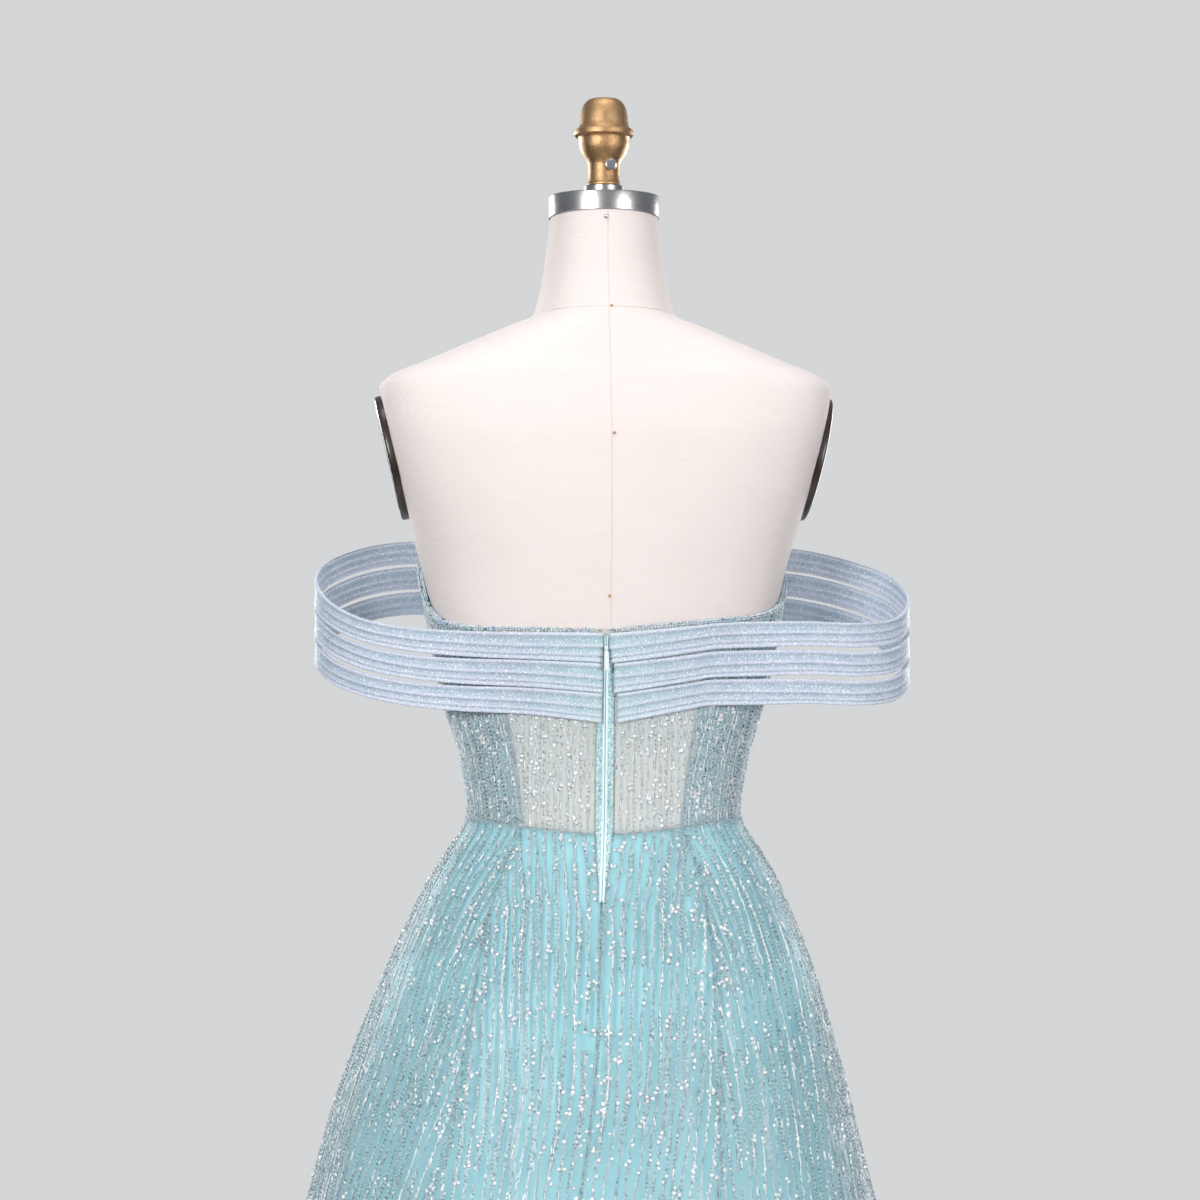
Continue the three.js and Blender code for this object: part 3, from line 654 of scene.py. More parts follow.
class Graph:
    """Adds nodes to one node tree in few words."""

    def __init__(self, tree: bpy.types.NodeTree) -> None:
        """Keeps the tree."""
        self.tree = tree

    def feed(self, socket: Socket, value: object) -> None:
        """Links a socket to another, or sets its value."""
        if isinstance(value, Socket):
            self.tree.links.new(value, socket)
        else:
            socket.default_value = value

    def add(self, kind: str, inputs: dict[str | int, object] | None = None, **settings: object) -> bpy.types.Node:
        """Adds a node.

        Args:
            kind: The node's type, without its first part.
            inputs: Values or sockets for its inputs.
            settings: Its settings.

        Returns:
            The node.
        """
        node = self.tree.nodes.new("ShaderNode" + kind)
        for key, value in settings.items():
            setattr(node, key, value)
        for key, value in (inputs or {}).items():
            self.feed(node.inputs[key], value)
        return node

    def math(self, operation: str, *values: object, clamp: bool = False) -> Socket:
        """Adds a sum and gives its result."""
        node = self.add("Math", dict(enumerate(values)), operation=operation, use_clamp=clamp)
        return node.outputs[0]

    def mix(self, share: object, a: object, b: object) -> Socket:
        """Mixes two colours."""
        node = self.add("Mix", data_type="RGBA")
        for socket, value in ((node.inputs[0], share), (node.inputs[6], a), (node.inputs[7], b)):
            self.feed(socket, value)
        return node.outputs[2]

    def between(self, value: object, low: float, high: float, start: object = 0.0, end: object = 1.0) -> Socket:
        """Maps a value from one range to another, held at the ends."""
        inputs = {0: value, 1: low, 2: high, 3: start, 4: end}
        return self.add("MapRange", inputs, clamp=True, interpolation_type="SMOOTHSTEP").outputs[0]

    def steps(self, value: Socket, *stops: tuple[float, tuple[float, float, float]], hard: bool = False) -> Socket:
        """Picks a colour by a value, from stops with their places."""
        node = self.add("ValToRGB", {0: value})
        ramp = node.color_ramp
        ramp.interpolation = "CONSTANT" if hard else "LINEAR"
        while len(ramp.elements) < len(stops):
            ramp.elements.new(0.5)
        for element, (place, colour) in zip(ramp.elements, stops):
            element.position = place
            element.color = (*colour, 1)
        return node.outputs[0]

    def call(self, group: bpy.types.NodeTree, **inputs: object) -> bpy.types.Node:
        """Places a shared effect."""
        node = self.tree.nodes.new("ShaderNodeGroup")
        node.node_tree = group
        for key, value in inputs.items():
            self.feed(node.inputs[key], value)
        return node


def effect(name: str, inputs: str, outputs: str) -> tuple[Graph, dict[str, Socket], bpy.types.Node]:
    """Starts a shared effect as a node group.

    Args:
        name: Its name.
        inputs: The inputs' names, with spaces between them. Place is a vector, and the others are numbers.
        outputs: The outputs' names, all numbers.

    Returns:
        The graph, the inputs' sockets by name, and the output node.
    """
    tree = bpy.data.node_groups.new(name, "ShaderNodeTree")
    for label in inputs.split():
        kind = "NodeSocketVector" if label == "Place" else "NodeSocketFloat"
        tree.interface.new_socket(name=label, in_out="INPUT", socket_type=kind)
    for label in outputs.split():
        tree.interface.new_socket(name=label, in_out="OUTPUT", socket_type="NodeSocketFloat")
    start = tree.nodes.new("NodeGroupInput")
    end = tree.nodes.new("NodeGroupOutput")
    return Graph(tree), {s.name: s for s in start.outputs if s.name}, end


def weave_effect() -> bpy.types.NodeTree:
    """A plain weave: Height has the threads, and Slub is uneven along them."""
    found = bpy.data.node_groups.get("plain_weave")
    if found:
        return found
    g, given, end = effect("plain_weave", "Place Pitch", "Height Slub")
    split = g.add("SeparateXYZ", {0: given["Place"]})
    round_x = g.math("ADD", split.outputs[0], split.outputs[1])
    warp = g.math("SINE", g.math("DIVIDE", g.math("MULTIPLY", round_x, 2 * math.pi), given["Pitch"]))
    weft = g.math("SINE", g.math("DIVIDE", g.math("MULTIPLY", split.outputs[2], 2 * math.pi), given["Pitch"]))
    g.feed(end.inputs["Height"], g.math("MAXIMUM", warp, weft))
    stretched = g.add("Mapping", {"Vector": given["Place"], "Scale": (60.0, 60.0, 900.0)})
    slub = g.add("TexNoise", {"Vector": stretched.outputs[0], "Scale": 1.0, "Detail": 3.0})
    g.feed(end.inputs["Slub"], slub.outputs[0])
    return g.tree


def mottle_effect() -> bpy.types.NodeTree:
    """Slow, soft unevenness of a surface."""
    found = bpy.data.node_groups.get("soft_mottle")
    if found:
        return found
    g, given, end = effect("soft_mottle", "Place Scale", "Value")
    noise = g.add("TexNoise", {"Vector": given["Place"], "Scale": given["Scale"], "Detail": 4.0, "Roughness": 0.6})
    g.feed(end.inputs["Value"], noise.outputs[0])
    return g.tree


@dataclass(frozen=True)
class Rows:
    """How rows of beads lie on a panel, in millimetres of cloth.

    The same numbers place the beads of the meshes and draw the finest ones in the cloth.
    """

    pitch: float
    drift: float = 2.8
    wave: float = 0.9
    wave_turn: float = 0.062
    lane: float = 1.5
    step: float = 1.75
    gap_turn: float = 0.031
    gap_level: float = -1.67

    def line(self, k: Array, fall: Array) -> Array:
        """The middle of row number k, as a distance across."""
        return k * self.pitch + self.drift * np.sin(12.99 * k) + self.wave * np.sin(self.wave_turn * fall + 2.4 * k)

    def present(self, k: Array, fall: Array) -> Array:
        """Where row number k has beads. Some rows stop and start again."""
        swing = np.sin(self.gap_turn * fall + 5.3 * k) + 0.7 * np.sin(0.017 * fall + 1.7 * k)
        return swing > self.gap_level

    def third(self, k: Array, fall: Array) -> Array:
        """Where row number k is wider, with a lane of beads on each side of its two."""
        return np.sin(0.021 * fall + 3.1 * k) > 0.45

    def kind(self, k: Array, lane: float) -> Array:
        """What the beads of a lane are like, as a number from 0 to 1."""
        return np.mod(np.sin(12.7 * k + 0.004 * lane) * 437.5, 1)

    def falls(self, k: Array, lane: float, length: float) -> tuple[Array, Array, Array]:
        """The beads of one lane in every row.

        Args:
            k: The rows' numbers.
            lane: The lane, as -1.5, -0.5, 0.5 or 1.5.
            length: How far down the panel goes.

        Returns:
            The row number, the distance down and the count along the lane of each bead.
        """
        first = -(0.37 * k + 0.5 * (lane - 0.5)) % 1
        count = np.arange(int(length / self.step))
        k, count = np.meshgrid(k, count, indexing="ij")
        return k, (count + 0.5 + first[:, None]) * self.step, count

    def effect(self, name: str) -> bpy.types.NodeTree:
        """The same rows as a shared effect.

        Returns:
            A group whose Dot is the finest beads, Pick a number for each of them, and Strand the rows' threads.
        """
        g, given, end = effect(name, "Place", "Dot Pick Strand")
        split = g.add("SeparateXYZ", {0: given["Place"]})
        across = g.math("MULTIPLY", split.outputs[0], 1000.0)
        fall = g.math("MULTIPLY", split.outputs[1], 1000.0)
        k = g.math("ROUND", g.math("DIVIDE", across, self.pitch))
        drift = g.math("MULTIPLY", g.math("SINE", g.math("MULTIPLY", k, 12.99)), self.drift)
        turn = g.math("MULTIPLY_ADD", fall, self.wave_turn, g.math("MULTIPLY", k, 2.4))
        wave = g.math("MULTIPLY", g.math("SINE", turn), self.wave)
        line = g.math("ADD", g.math("MULTIPLY_ADD", k, self.pitch, drift), wave)
        off = g.math("SUBTRACT", across, line)
        lane = g.math("FLOOR", g.math("DIVIDE", off, self.lane))
        beside = g.math("SUBTRACT", g.math("SUBTRACT", off, g.math("MULTIPLY", lane, self.lane)), self.lane / 2)
        phase = g.math("MULTIPLY_ADD", lane, 0.5, g.math("MULTIPLY", k, 0.37))
        shifted = g.math("ADD", phase, g.math("DIVIDE", fall, self.step))
        along = g.math("MULTIPLY", g.math("SUBTRACT", g.math("FRACT", shifted), 0.5), self.step)
        reach = g.math("SQRT", g.math("MULTIPLY_ADD", beside, beside, g.math("MULTIPLY", along, along)))
        first = g.math("SINE", g.math("MULTIPLY_ADD", fall, self.gap_turn, g.math("MULTIPLY", k, 5.3)))
        second = g.math("SINE", g.math("MULTIPLY_ADD", fall, 0.017, g.math("MULTIPLY", k, 1.7)))
        present = g.math("GREATER_THAN", g.math("MULTIPLY_ADD", second, 0.7, first), self.gap_level)
        wide = g.math("SINE", g.math("MULTIPLY_ADD", fall, 0.021, g.math("MULTIPLY", k, 3.1)))
        reach_out = g.math("MULTIPLY_ADD", g.math("GREATER_THAN", wide, 0.45), self.lane, self.lane)
        narrow = g.math("LESS_THAN", g.math("ABSOLUTE", off), reach_out)
        seed = g.add("CombineXYZ", {0: g.math("MULTIPLY_ADD", lane, 31.0, k), 1: g.math("FLOOR", shifted)})
        pick = g.add("TexWhiteNoise", {"Vector": seed.outputs[0]}, noise_dimensions="3D").outputs["Value"]
        here = g.math("MULTIPLY", present, narrow)
        shown = g.math("MULTIPLY", here, g.math("GREATER_THAN", pick, 0.1))
        g.feed(end.inputs["Dot"], g.math("MULTIPLY", g.between(reach, 0.72, 0.5), shown))
        g.feed(end.inputs["Pick"], pick)
        g.feed(end.inputs["Strand"], g.math("MULTIPLY", g.between(g.math("ABSOLUTE", off), 3.4, 0.8), here))
        return g.tree


SKIRT_ROWS = Rows(pitch=8.2)
SIDE_ROWS = Rows(pitch=3.9, drift=0.3, wave=0.35, lane=1.5, step=1.8, gap_level=-9.0)
BACK_ROWS = Rows(pitch=5.6, drift=0.9, wave=0.3, lane=1.6, step=1.9)


class Finish:
    """A material that is built once, on its first use."""

    slot: str = ""
    name: str = ""

    def start(self, **plain: object) -> tuple[bpy.types.Material, Graph, bpy.types.Node]:
        """Makes a new material with its plain shader values set.

        Args:
            plain: Values for the shader's own sockets, with spaces in their names as underscores.

        Returns:
            The material, its graph and its shader.
        """
        made = bpy.data.materials.new(self.name)
        made.use_nodes = True
        made.node_tree.nodes.clear()
        g = Graph(made.node_tree)
        shader = g.add("BsdfPrincipled")
        for key, value in plain.items():
            shader.inputs[key.replace("_", " ")].default_value = value
        end = g.add("OutputMaterial")
        g.feed(end.inputs[0], shader.outputs[0])
        return made, g, shader

    def build(self) -> bpy.types.Material:
        """Builds the material."""
        raise NotImplementedError

    def material(self) -> bpy.types.Material:
        """The material, built if it isn't there yet."""
        return bpy.data.materials.get(self.name) or self.build()

    def bump(self, g: Graph, shader: bpy.types.Node, height: Socket, distance: float, strength: float = 1.0) -> None:
        """Raises the surface by a height."""
        node = g.add("Bump", {"Height": height, "Distance": distance, "Strength": strength})
        g.feed(shader.inputs["Normal"], node.outputs[0])


@dataclass(frozen=True)
class Linen(Finish):
    """Cream linen, with the seams down its centre and round its neck."""

    slot: str = "form_linen"
    name: str = "linen"

    def build(self) -> bpy.types.Material:
        """Builds the material."""
        made, g, shader = self.start(Roughness=0.82, Sheen_Weight=0.15, Sheen_Roughness=0.5)
        place = g.add("TexCoord").outputs["Object"]
        weave = g.call(weave_effect(), Place=place, Pitch=0.0011)
        mottle = g.call(mottle_effect(), Place=place, Scale=9.0)
        split = g.add("SeparateXYZ", {0: place})
        aside = g.math("ABSOLUTE", split.outputs[0])
        seam = g.between(aside, 0.0011, 0.0002)
        tone = g.math("MULTIPLY_ADD", weave.outputs["Slub"], 0.55, g.math("MULTIPLY", mottle.outputs[0], 0.5))
        cloth = g.steps(tone, (0.3, (0.78, 0.69, 0.65)), (0.75, (0.83, 0.75, 0.715)))
        colour = g.mix(g.math("MULTIPLY", seam, 0.35), cloth, (0.62, 0.52, 0.46, 1))
        g.feed(shader.inputs["Base Color"], colour)
        threads = g.math("MULTIPLY_ADD", seam, -3.0, weave.outputs["Height"])
        slubs = g.math("MULTIPLY_ADD", weave.outputs["Slub"], 1.2, threads)
        self.bump(g, shader, slubs, 0.00008)
        return made


@dataclass(frozen=True)
class Satin(Finish):
    """Aqua satin with a soft sheen."""

    slot: str = "satin_lining"
    name: str = "satin"

    def build(self) -> bpy.types.Material:
        """Builds the material."""
        made, g, shader = self.start(Sheen_Weight=0.2, Sheen_Roughness=0.35)
        flat = g.add("UVMap", uv_map="cloth").outputs[0]
        place = g.add("TexCoord").outputs["Object"]
        mottle = g.call(mottle_effect(), Place=place, Scale=7.0)
        streaks = g.add("Mapping", {"Vector": flat, "Scale": (420.0, 14.0, 1.0)})
        thread = g.add("TexNoise", {"Vector": streaks.outputs[0], "Scale": 1.0, "Detail": 2.0})
        colour = g.steps(
            g.math("MULTIPLY_ADD", thread.outputs[0], 0.25, g.math("MULTIPLY", mottle.outputs[0], 0.75)),
            (0.3, (0.40, 0.80, 0.86)),
            (0.5, (0.47, 0.86, 0.91)),
            (0.7, (0.56, 0.88, 0.95)),
        )
        g.feed(shader.inputs["Base Color"], colour)
        g.feed(shader.inputs["Roughness"], g.between(mottle.outputs[0], 0.3, 0.7, 0.36, 0.46))
        self.bump(g, shader, thread.outputs[0], 0.00005)
        return made


@dataclass(frozen=True)
class BeadedNet(Finish):
    """Sheer aqua net with fine beads in rows."""

    rows: Rows = SKIRT_ROWS
    slot: str = "beaded_net"
    name: str = "beaded_net"
    veil: float = 0.07
    thread: float = 0.42
    tint: tuple[float, float, float, float] = (0.44, 0.68, 0.74, 1)
    strand_tint: tuple[float, float, float, float] = (0.50, 0.75, 0.80, 1)
    strand: float = 0.26

    def build(self) -> bpy.types.Material:
        """Builds the material."""
        made, g, shader = self.start()
        flat = g.add("UVMap", uv_map="cloth").outputs[0]
        rows = g.call(self.rows.effect(self.name + "_rows"), Place=flat)
        split = g.add("SeparateXYZ", {0: flat})
        mesh = [
            g.math("ABSOLUTE", g.math("SINE", g.math("MULTIPLY", g.math(way, split.outputs[0], split.outputs[1]), 1950.0)))
            for way in ("ADD", "SUBTRACT")
        ]
        thread = g.between(g.math("MINIMUM", *mesh), 0.42, 0.22)
        bead = g.steps(
            rows.outputs["Pick"],
            (0.0, (0.84, 0.88, 0.90)),
            (0.42, (0.52, 0.78, 0.82)),
            (0.62, (0.42, 0.48, 0.51)),
            (0.76, (0.12, 0.14, 0.15)),
            (0.84, (0.66, 0.69, 0.84)),
            (0.92, (0.95, 0.95, 0.95)),
            hard=True,
        )
        net = g.mix(rows.outputs["Strand"], self.tint, self.strand_tint)
        g.feed(shader.inputs["Base Color"], g.mix(rows.outputs["Dot"], net, bead))
        veil = g.math("MULTIPLY_ADD", rows.outputs["Strand"], self.strand, g.between(thread, 0, 1, self.veil, self.thread))
        g.feed(shader.inputs["Alpha"], g.math("MAXIMUM", veil, rows.outputs["Dot"]))
        g.feed(shader.inputs["Metallic"], g.math("MULTIPLY", rows.outputs["Dot"], 0.15))
        g.feed(shader.inputs["Roughness"], g.between(rows.outputs["Dot"], 0, 1, 0.6, 0.25))
        self.bump(g, shader, g.math("MULTIPLY_ADD", thread, 0.15, rows.outputs["Dot"]), 0.0006)
        return made


@dataclass(frozen=True)
class Bead(Finish):
    """Glass and silver beads. Each has its own tint, and how metallic it is in the tint's fourth number."""

    slot: str = "beaded_net"
    name: str = "bead"

    def build(self) -> bpy.types.Material:
        """Builds the material."""
        made, g, shader = self.start(Roughness=0.24, Coat_Weight=0.6, Coat_Roughness=0.06)
        tint = g.add("Attribute", attribute_name="tint")
        g.feed(shader.inputs["Base Color"], tint.outputs["Color"])
        g.feed(shader.inputs["Metallic"], tint.outputs["Alpha"])
        return made


@dataclass(frozen=True)
class GlitterTulle(Finish):
    """Folded tulle with fine glitter, greener beside the zip, with painted highlight along the raised folded edges,
    painted shade in the hollows between the folds and painted glints on some glitter specks.
    """

    slot: str = "glitter_tulle"
    name: str = "folded_tulle"
    # Tones across a band, lined up with the folds of the band's mesh: 1 is painted highlight on a raised edge, low
    # tones are painted shade below each fold's step.
    folds: tuple[tuple[float, tuple[float, float, float]], ...] = tuple(
        (place * BAND_WIDE / BAND_MAP, (tone, tone, tone))
        for place, tone in ((0.0, 1), (0.11, 0.9), (0.16, 0.1), (0.36, 0.2), (0.47, 1), (0.53, 0.1), (0.66, 0.2),
                            (0.78, 0.9), (0.82, 0.15), (0.91, 1.0))
    )

    def build(self) -> bpy.types.Material:
        """Builds the material."""
        made, g, shader = self.start(Sheen_Weight=0.25, Sheen_Roughness=0.4)
        flat = g.add("UVMap", uv_map="cloth").outputs[0]
        split = g.add("SeparateXYZ", {0: flat})
        grain = g.add("TexVoronoi", {"Vector": flat, "Scale": 740.0}, feature="F1")
        spark = g.add("TexWhiteNoise", {"Vector": grain.outputs["Position"]}, noise_dimensions="3D").outputs["Value"]
        dot = g.between(grain.outputs["Distance"], 0.5, 0.3)
        mottle = g.call(mottle_effect(), Place=flat, Scale=70.0)
        fine = g.add("TexNoise", {"Vector": flat, "Scale": 800.0, "Detail": 1.0})
        # Painted light of the folds: lighter on the raised edges, with painted shade in the hollows after each step.
        painted_fold_light = g.steps(g.math("FRACT", g.math("DIVIDE", split.outputs[1], BAND_MAP * MM)), *self.folds)
        near = g.between(g.math("ABSOLUTE", split.outputs[0]), 0.075, 0.0)
        # deep is the painted shade colour of the hollows, ground the colour of the lit raised tulle.
        deep = g.mix(near, (0.35, 0.45, 0.54, 1), (0.33, 0.50, 0.54, 1))
        ground = g.mix(near, (0.56, 0.60, 0.71, 1), (0.56, 0.64, 0.71, 1))
        tone = g.math("MULTIPLY_ADD", mottle.outputs[0], 0.9, g.math("MULTIPLY_ADD", fine.outputs[0], 0.9, painted_fold_light))
        cloth = g.mix(g.between(tone, 0.75, 1.6), deep, ground)
        # Glitter specks: the white ones are painted glints, a painted highlight standing in for light caught by the
        # flakes; the dark ones are dark flakes.
        painted_glint = g.math("MULTIPLY", dot, g.math("GREATER_THAN", spark, 0.68))
        dark = g.math("MULTIPLY", dot, g.math("LESS_THAN", spark, 0.2))
        coloured = g.mix(g.math("MULTIPLY", painted_glint, 0.8), cloth, (0.93, 0.95, 0.98, 1))
        g.feed(shader.inputs["Base Color"], g.mix(g.math("MULTIPLY", dark, 0.5), coloured, (0.20, 0.30, 0.36, 1)))
        g.feed(shader.inputs["Metallic"], g.math("MULTIPLY", painted_glint, 0.1))
        g.feed(shader.inputs["Roughness"], g.between(painted_glint, 0, 1, 0.58, 0.3))
        self.bump(g, shader, g.math("MULTIPLY_ADD", painted_glint, 0.6, fine.outputs[0]), 0.0003)
        return made


@dataclass(frozen=True)
class WovenTape(Finish):
    """The zip's aqua tape, with its smooth pale edges along the middle and painted shade in the groove between them."""

    slot: str = "zip_tape"
    name: str = "woven_tape"

    def build(self) -> bpy.types.Material:
        """Builds the material."""
        made, g, shader = self.start(Roughness=0.5, Sheen_Weight=0.2)
        flat = g.add("UVMap", uv_map="cloth").outputs[0]
        aside = g.math("ABSOLUTE", g.add("SeparateXYZ", {0: flat}).outputs[0])
        grain = g.add("TexVoronoi", {"Vector": flat, "Scale": 750.0}, feature="F1")
        pick = g.add("TexWhiteNoise", {"Vector": grain.outputs["Position"]}, noise_dimensions="3D").outputs["Value"]
        ribs = g.call(weave_effect(), Place=flat, Pitch=0.0009)
        net = g.steps(
            pick,
            (0.0, (0.40, 0.62, 0.64)),
            (0.45, (0.54, 0.74, 0.75)),
            (0.75, (0.84, 0.91, 0.91)),
            (0.88, (0.24, 0.36, 0.38)),
            hard=True,
        )
        rolled = g.between(aside, 0.0022, 0.0019)
        # Painted shade: the groove between the rolled edges is darkened.
        painted_groove_shade = g.between(aside, 0.0005, 0.00025)
        edge = g.mix(painted_groove_shade, (0.80, 0.93, 0.96, 1), (0.22, 0.42, 0.45, 1))
        g.feed(shader.inputs["Base Color"], g.mix(rolled, net, edge))
        self.bump(g, shader, g.math("MULTIPLY_ADD", ribs.outputs["Height"], 0.3, grain.outputs["Distance"]), 0.0001)
        return made


@dataclass(frozen=True)
class Coated(Finish):
    """A hard, plain-coloured surface with slight unevenness: paint, varnish or nylon."""

    colour: tuple[float, float, float] = (0.8, 0.85, 0.86)
    worn: tuple[float, float, float] = (0.7, 0.76, 0.78)
    gloss: float = 0.3
    grain: float = 300.0
    depth: float = 0.00003
    coat: float = 0.2
    slot: str = "zip_metal"
    name: str = "enamel"

    def build(self) -> bpy.types.Material:
        """Builds the material."""
        made, g, shader = self.start(Coat_Weight=self.coat, Coat_Roughness=0.15)
        place = g.add("TexCoord").outputs["Object"]
        mottle = g.call(mottle_effect(), Place=place, Scale=self.grain)
        g.feed(shader.inputs["Base Color"], g.steps(mottle.outputs[0], (0.35, self.worn), (0.6, self.colour)))
        g.feed(shader.inputs["Roughness"], g.between(mottle.outputs[0], 0.3, 0.7, self.gloss * 1.25, self.gloss))
        self.bump(g, shader, mottle.outputs[0], self.depth)
        return made


@dataclass(frozen=True)
class Metal(Finish):
    """Bare or gilded metal, brushed round its axis or grained by its casting."""

    colour: tuple[float, float, float] = (0.50, 0.48, 0.47)
    deep: tuple[float, float, float] = (0.36, 0.35, 0.35)
    rough: float = 0.3
    stretch: tuple[float, float, float] = (40.0, 40.0, 2200.0)
    depth: float = 0.00002
    slot: str = "cap_steel"
    name: str = "steel"

    def build(self) -> bpy.types.Material:
        """Builds the material."""
        made, g, shader = self.start(Metallic=1.0)
        place = g.add("TexCoord").outputs["Object"]
        drawn = g.add("Mapping", {"Vector": place, "Scale": self.stretch})
        grain = g.add("TexNoise", {"Vector": drawn.outputs[0], "Scale": 1.0, "Detail": 4.0, "Roughness": 0.65})
        mottle = g.call(mottle_effect(), Place=place, Scale=60.0)
        tone = g.math("MULTIPLY_ADD", grain.outputs[0], 0.6, g.math("MULTIPLY", mottle.outputs[0], 0.4))
        g.feed(shader.inputs["Base Color"], g.steps(tone, (0.35, self.deep), (0.62, self.colour)))
        g.feed(shader.inputs["Roughness"], g.between(tone, 0.3, 0.7, self.rough * 1.3, self.rough * 0.8))
        self.bump(g, shader, grain.outputs[0], self.depth)
        return made


LINEN = Linen()
SATIN = Satin()
NET_SKIRT = BeadedNet(name="net_skirt")
NET_SIDE = BeadedNet(rows=SIDE_ROWS, name="net_side", thread=0.55, tint=(0.68, 0.84, 0.90, 1))
NET_BACK = BeadedNet(
    rows=BACK_ROWS,
    name="net_back",
    veil=0.36,
    thread=0.62,
    tint=(0.95, 0.94, 0.885, 1),
    strand_tint=(0.80, 0.91, 0.89, 1),
    strand=0.2,
)
BEAD = Bead()
TULLE = GlitterTulle()
TAPE = WovenTape()
ENAMEL = Coated()
NYLON = Coated(
    colour=(0.66, 0.84, 0.86), worn=(0.5, 0.74, 0.77), gloss=0.35, coat=0.1, slot="zip_tape", name="nylon_coil"
)
VARNISH = Coated(
    colour=(0.035, 0.018, 0.011),
    worn=(0.018, 0.010, 0.007),
    gloss=0.32,
    grain=40.0,
    coat=0.5,
    slot="plate_brown",
    name="varnish",
)
STEEL = Metal()
SCREW_STEEL = Metal(colour=(0.72, 0.71, 0.70), deep=(0.5, 0.5, 0.5), rough=0.22, name="bright_steel")
GOLD = Metal(
    colour=(0.62, 0.39, 0.20),
    deep=(0.36, 0.21, 0.10),
    rough=0.42,
    stretch=(700.0, 700.0, 700.0),
    depth=0.00035,
    slot="finial_gold",
    name="cast_gold",
)
STAND_PAINT = Metal(
    colour=(0.50, 0.34, 0.18),
    deep=(0.34, 0.21, 0.10),
    rough=0.4,
    stretch=(500.0, 500.0, 500.0),
    depth=0.00015,
    slot="stand_metal",
    name="stand_gold",
)


def dress(piece: bpy.types.Object, finish: Finish, *replaced: str, body: str = "root") -> bpy.types.Object:
    """Gives a piece its finish and its body, hides the nodes that it stands for, and reports it.

    Args:
        piece: The finished piece.
        finish: Its finish.
        replaced: The nodes that it replaces.
        body: The body that it moves with.

    Returns:
        The piece.
    """
    piece.data.materials.clear()
    piece.data.materials.append(finish.material())
    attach(piece, body)
    if replaced:
        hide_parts(*replaced)
    triangles = sum(len(p.vertices) - 2 for p in piece.data.polygons)
    LOG.info("%s: %d triangles, %s", piece.name, triangles, finish.name)
    return piece


class BeadShape(Enum):
    """Small shapes that are sewn on: their points across, along and out, and their triangles."""

    STUD = (
        ((-0.95, -0.6, -0.4), (0.95, -0.6, -0.4), (0, 1.1, -0.4), (0, 0, 1)),
        ((0, 1, 3), (1, 2, 3), (2, 0, 3), (0, 2, 1)),
    )
    BUGLE = (
        ((-1, -1, -0.3), (1, -1, -0.3), (0, -0.94, 1), (-1, 1, -0.3), (1, 1, -0.3), (0, 0.94, 1)),
        ((0, 2, 5), (0, 5, 3), (1, 4, 5), (1, 5, 2), (0, 1, 2), (3, 5, 4), (0, 3, 4), (0, 4, 1)),
    )
    DISC = (
        (*((math.cos(i * math.tau / 5), math.sin(i * math.tau / 5), -0.15) for i in range(5)), (0, 0, 0.45)),
        (*((i, (i + 1) % 5, 5) for i in range(5)), (2, 1, 0), (3, 2, 0), (4, 3, 0)),
    )


TINTS = np.array(
    [
        (0.94, 0.97, 0.98, 0.05),
        (0.56, 0.86, 0.90, 0.0),
        (0.42, 0.56, 0.61, 0.1),
        (0.04, 0.08, 0.10, 0.1),
        (0.70, 0.75, 0.92, 0.0),
        (0.86, 0.78, 0.74, 0.1),
        (1.0, 1.0, 1.0, 0.0),
        (0.20, 0.46, 0.52, 0.1),
    ]
)
TINT_SHARES = {
    "silver": (0.26, 0.05, 0.26, 0.21, 0.10, 0.08, 0.04, 0),
    "teal": (0.16, 0.26, 0.14, 0.08, 0.04, 0, 0.04, 0.28),
    "light": (0.44, 0.14, 0.08, 0.02, 0.04, 0.08, 0.20, 0),
    "pale": (0.42, 0.23, 0.05, 0.02, 0.17, 0.01, 0.10, 0),
    "lilac": (0.30, 0.14, 0.05, 0.01, 0.34, 0.04, 0.12, 0),
    "white": (0.35, 0, 0, 0, 0, 0, 0.65, 0),
}
DARK, BRIGHT = 3, 0


@dataclass
class Sewn:
    """Small things of one shape and where they are sewn."""

    shape: BeadShape
    place: Array
    right: Array
    normal: Array
    size: Array
    tint: Array


def scatter(name: str, groups: list[Sewn]) -> bpy.types.Object:
    """Joins many small things into one mesh.

    Args:
        name: The piece's name.
        groups: The small things.

    Returns:
        The new object, with a tint for each of its points.
    """
    all_points, all_faces, all_tints = [], [], []
    first = 0
    for group in groups:
        shape, triangles = (np.array(part, float) for part in group.shape.value)
        along = np.cross(group.normal, group.right)
        local = shape[None] * group.size[:, None, :]
        axes = np.stack([group.right, along, group.normal], 1)
        points = group.place[:, None, :] + np.einsum("nvc,nck->nvk", local, axes)
        count, corners = points.shape[:2]
        faces = triangles.astype(int)[None] + (first + np.arange(count) * corners)[:, None, None]
        first += count * corners
        all_points.append(points.reshape(-1, 3))
        all_faces.append(faces.reshape(-1, 3))
        all_tints.append(np.repeat(group.tint, corners, axis=0))
    piece = new_mesh(name, np.concatenate(all_points), np.concatenate(all_faces))
    piece.data.shade_smooth()
    tint = piece.data.attributes.new("tint", "FLOAT_COLOR", "POINT")
    tint.data.foreach_set("color", np.concatenate(all_tints).astype(np.float32).ravel())
    return piece


def turned_about(right: Array, normal: Array, turn: Array) -> Array:
    """Turns the rightward direction of each thing about its normal."""
    along = np.cross(normal, right)
    return right * np.cos(turn)[:, None] + along * np.sin(turn)[:, None]


def tilted(normal: Array, rng: np.random.Generator, amount: float) -> Array:
    """Leans each normal a little, at random."""
    leaned = normal + rng.normal(0, amount, normal.shape)
    return leaned / np.linalg.norm(leaned, axis=1, keepdims=True)


def squared(right: Array, normal: Array) -> Array:
    """Makes each rightward direction square to its normal."""
    level = right - normal * np.sum(right * normal, axis=1, keepdims=True)
    return level / np.linalg.norm(level, axis=1, keepdims=True)


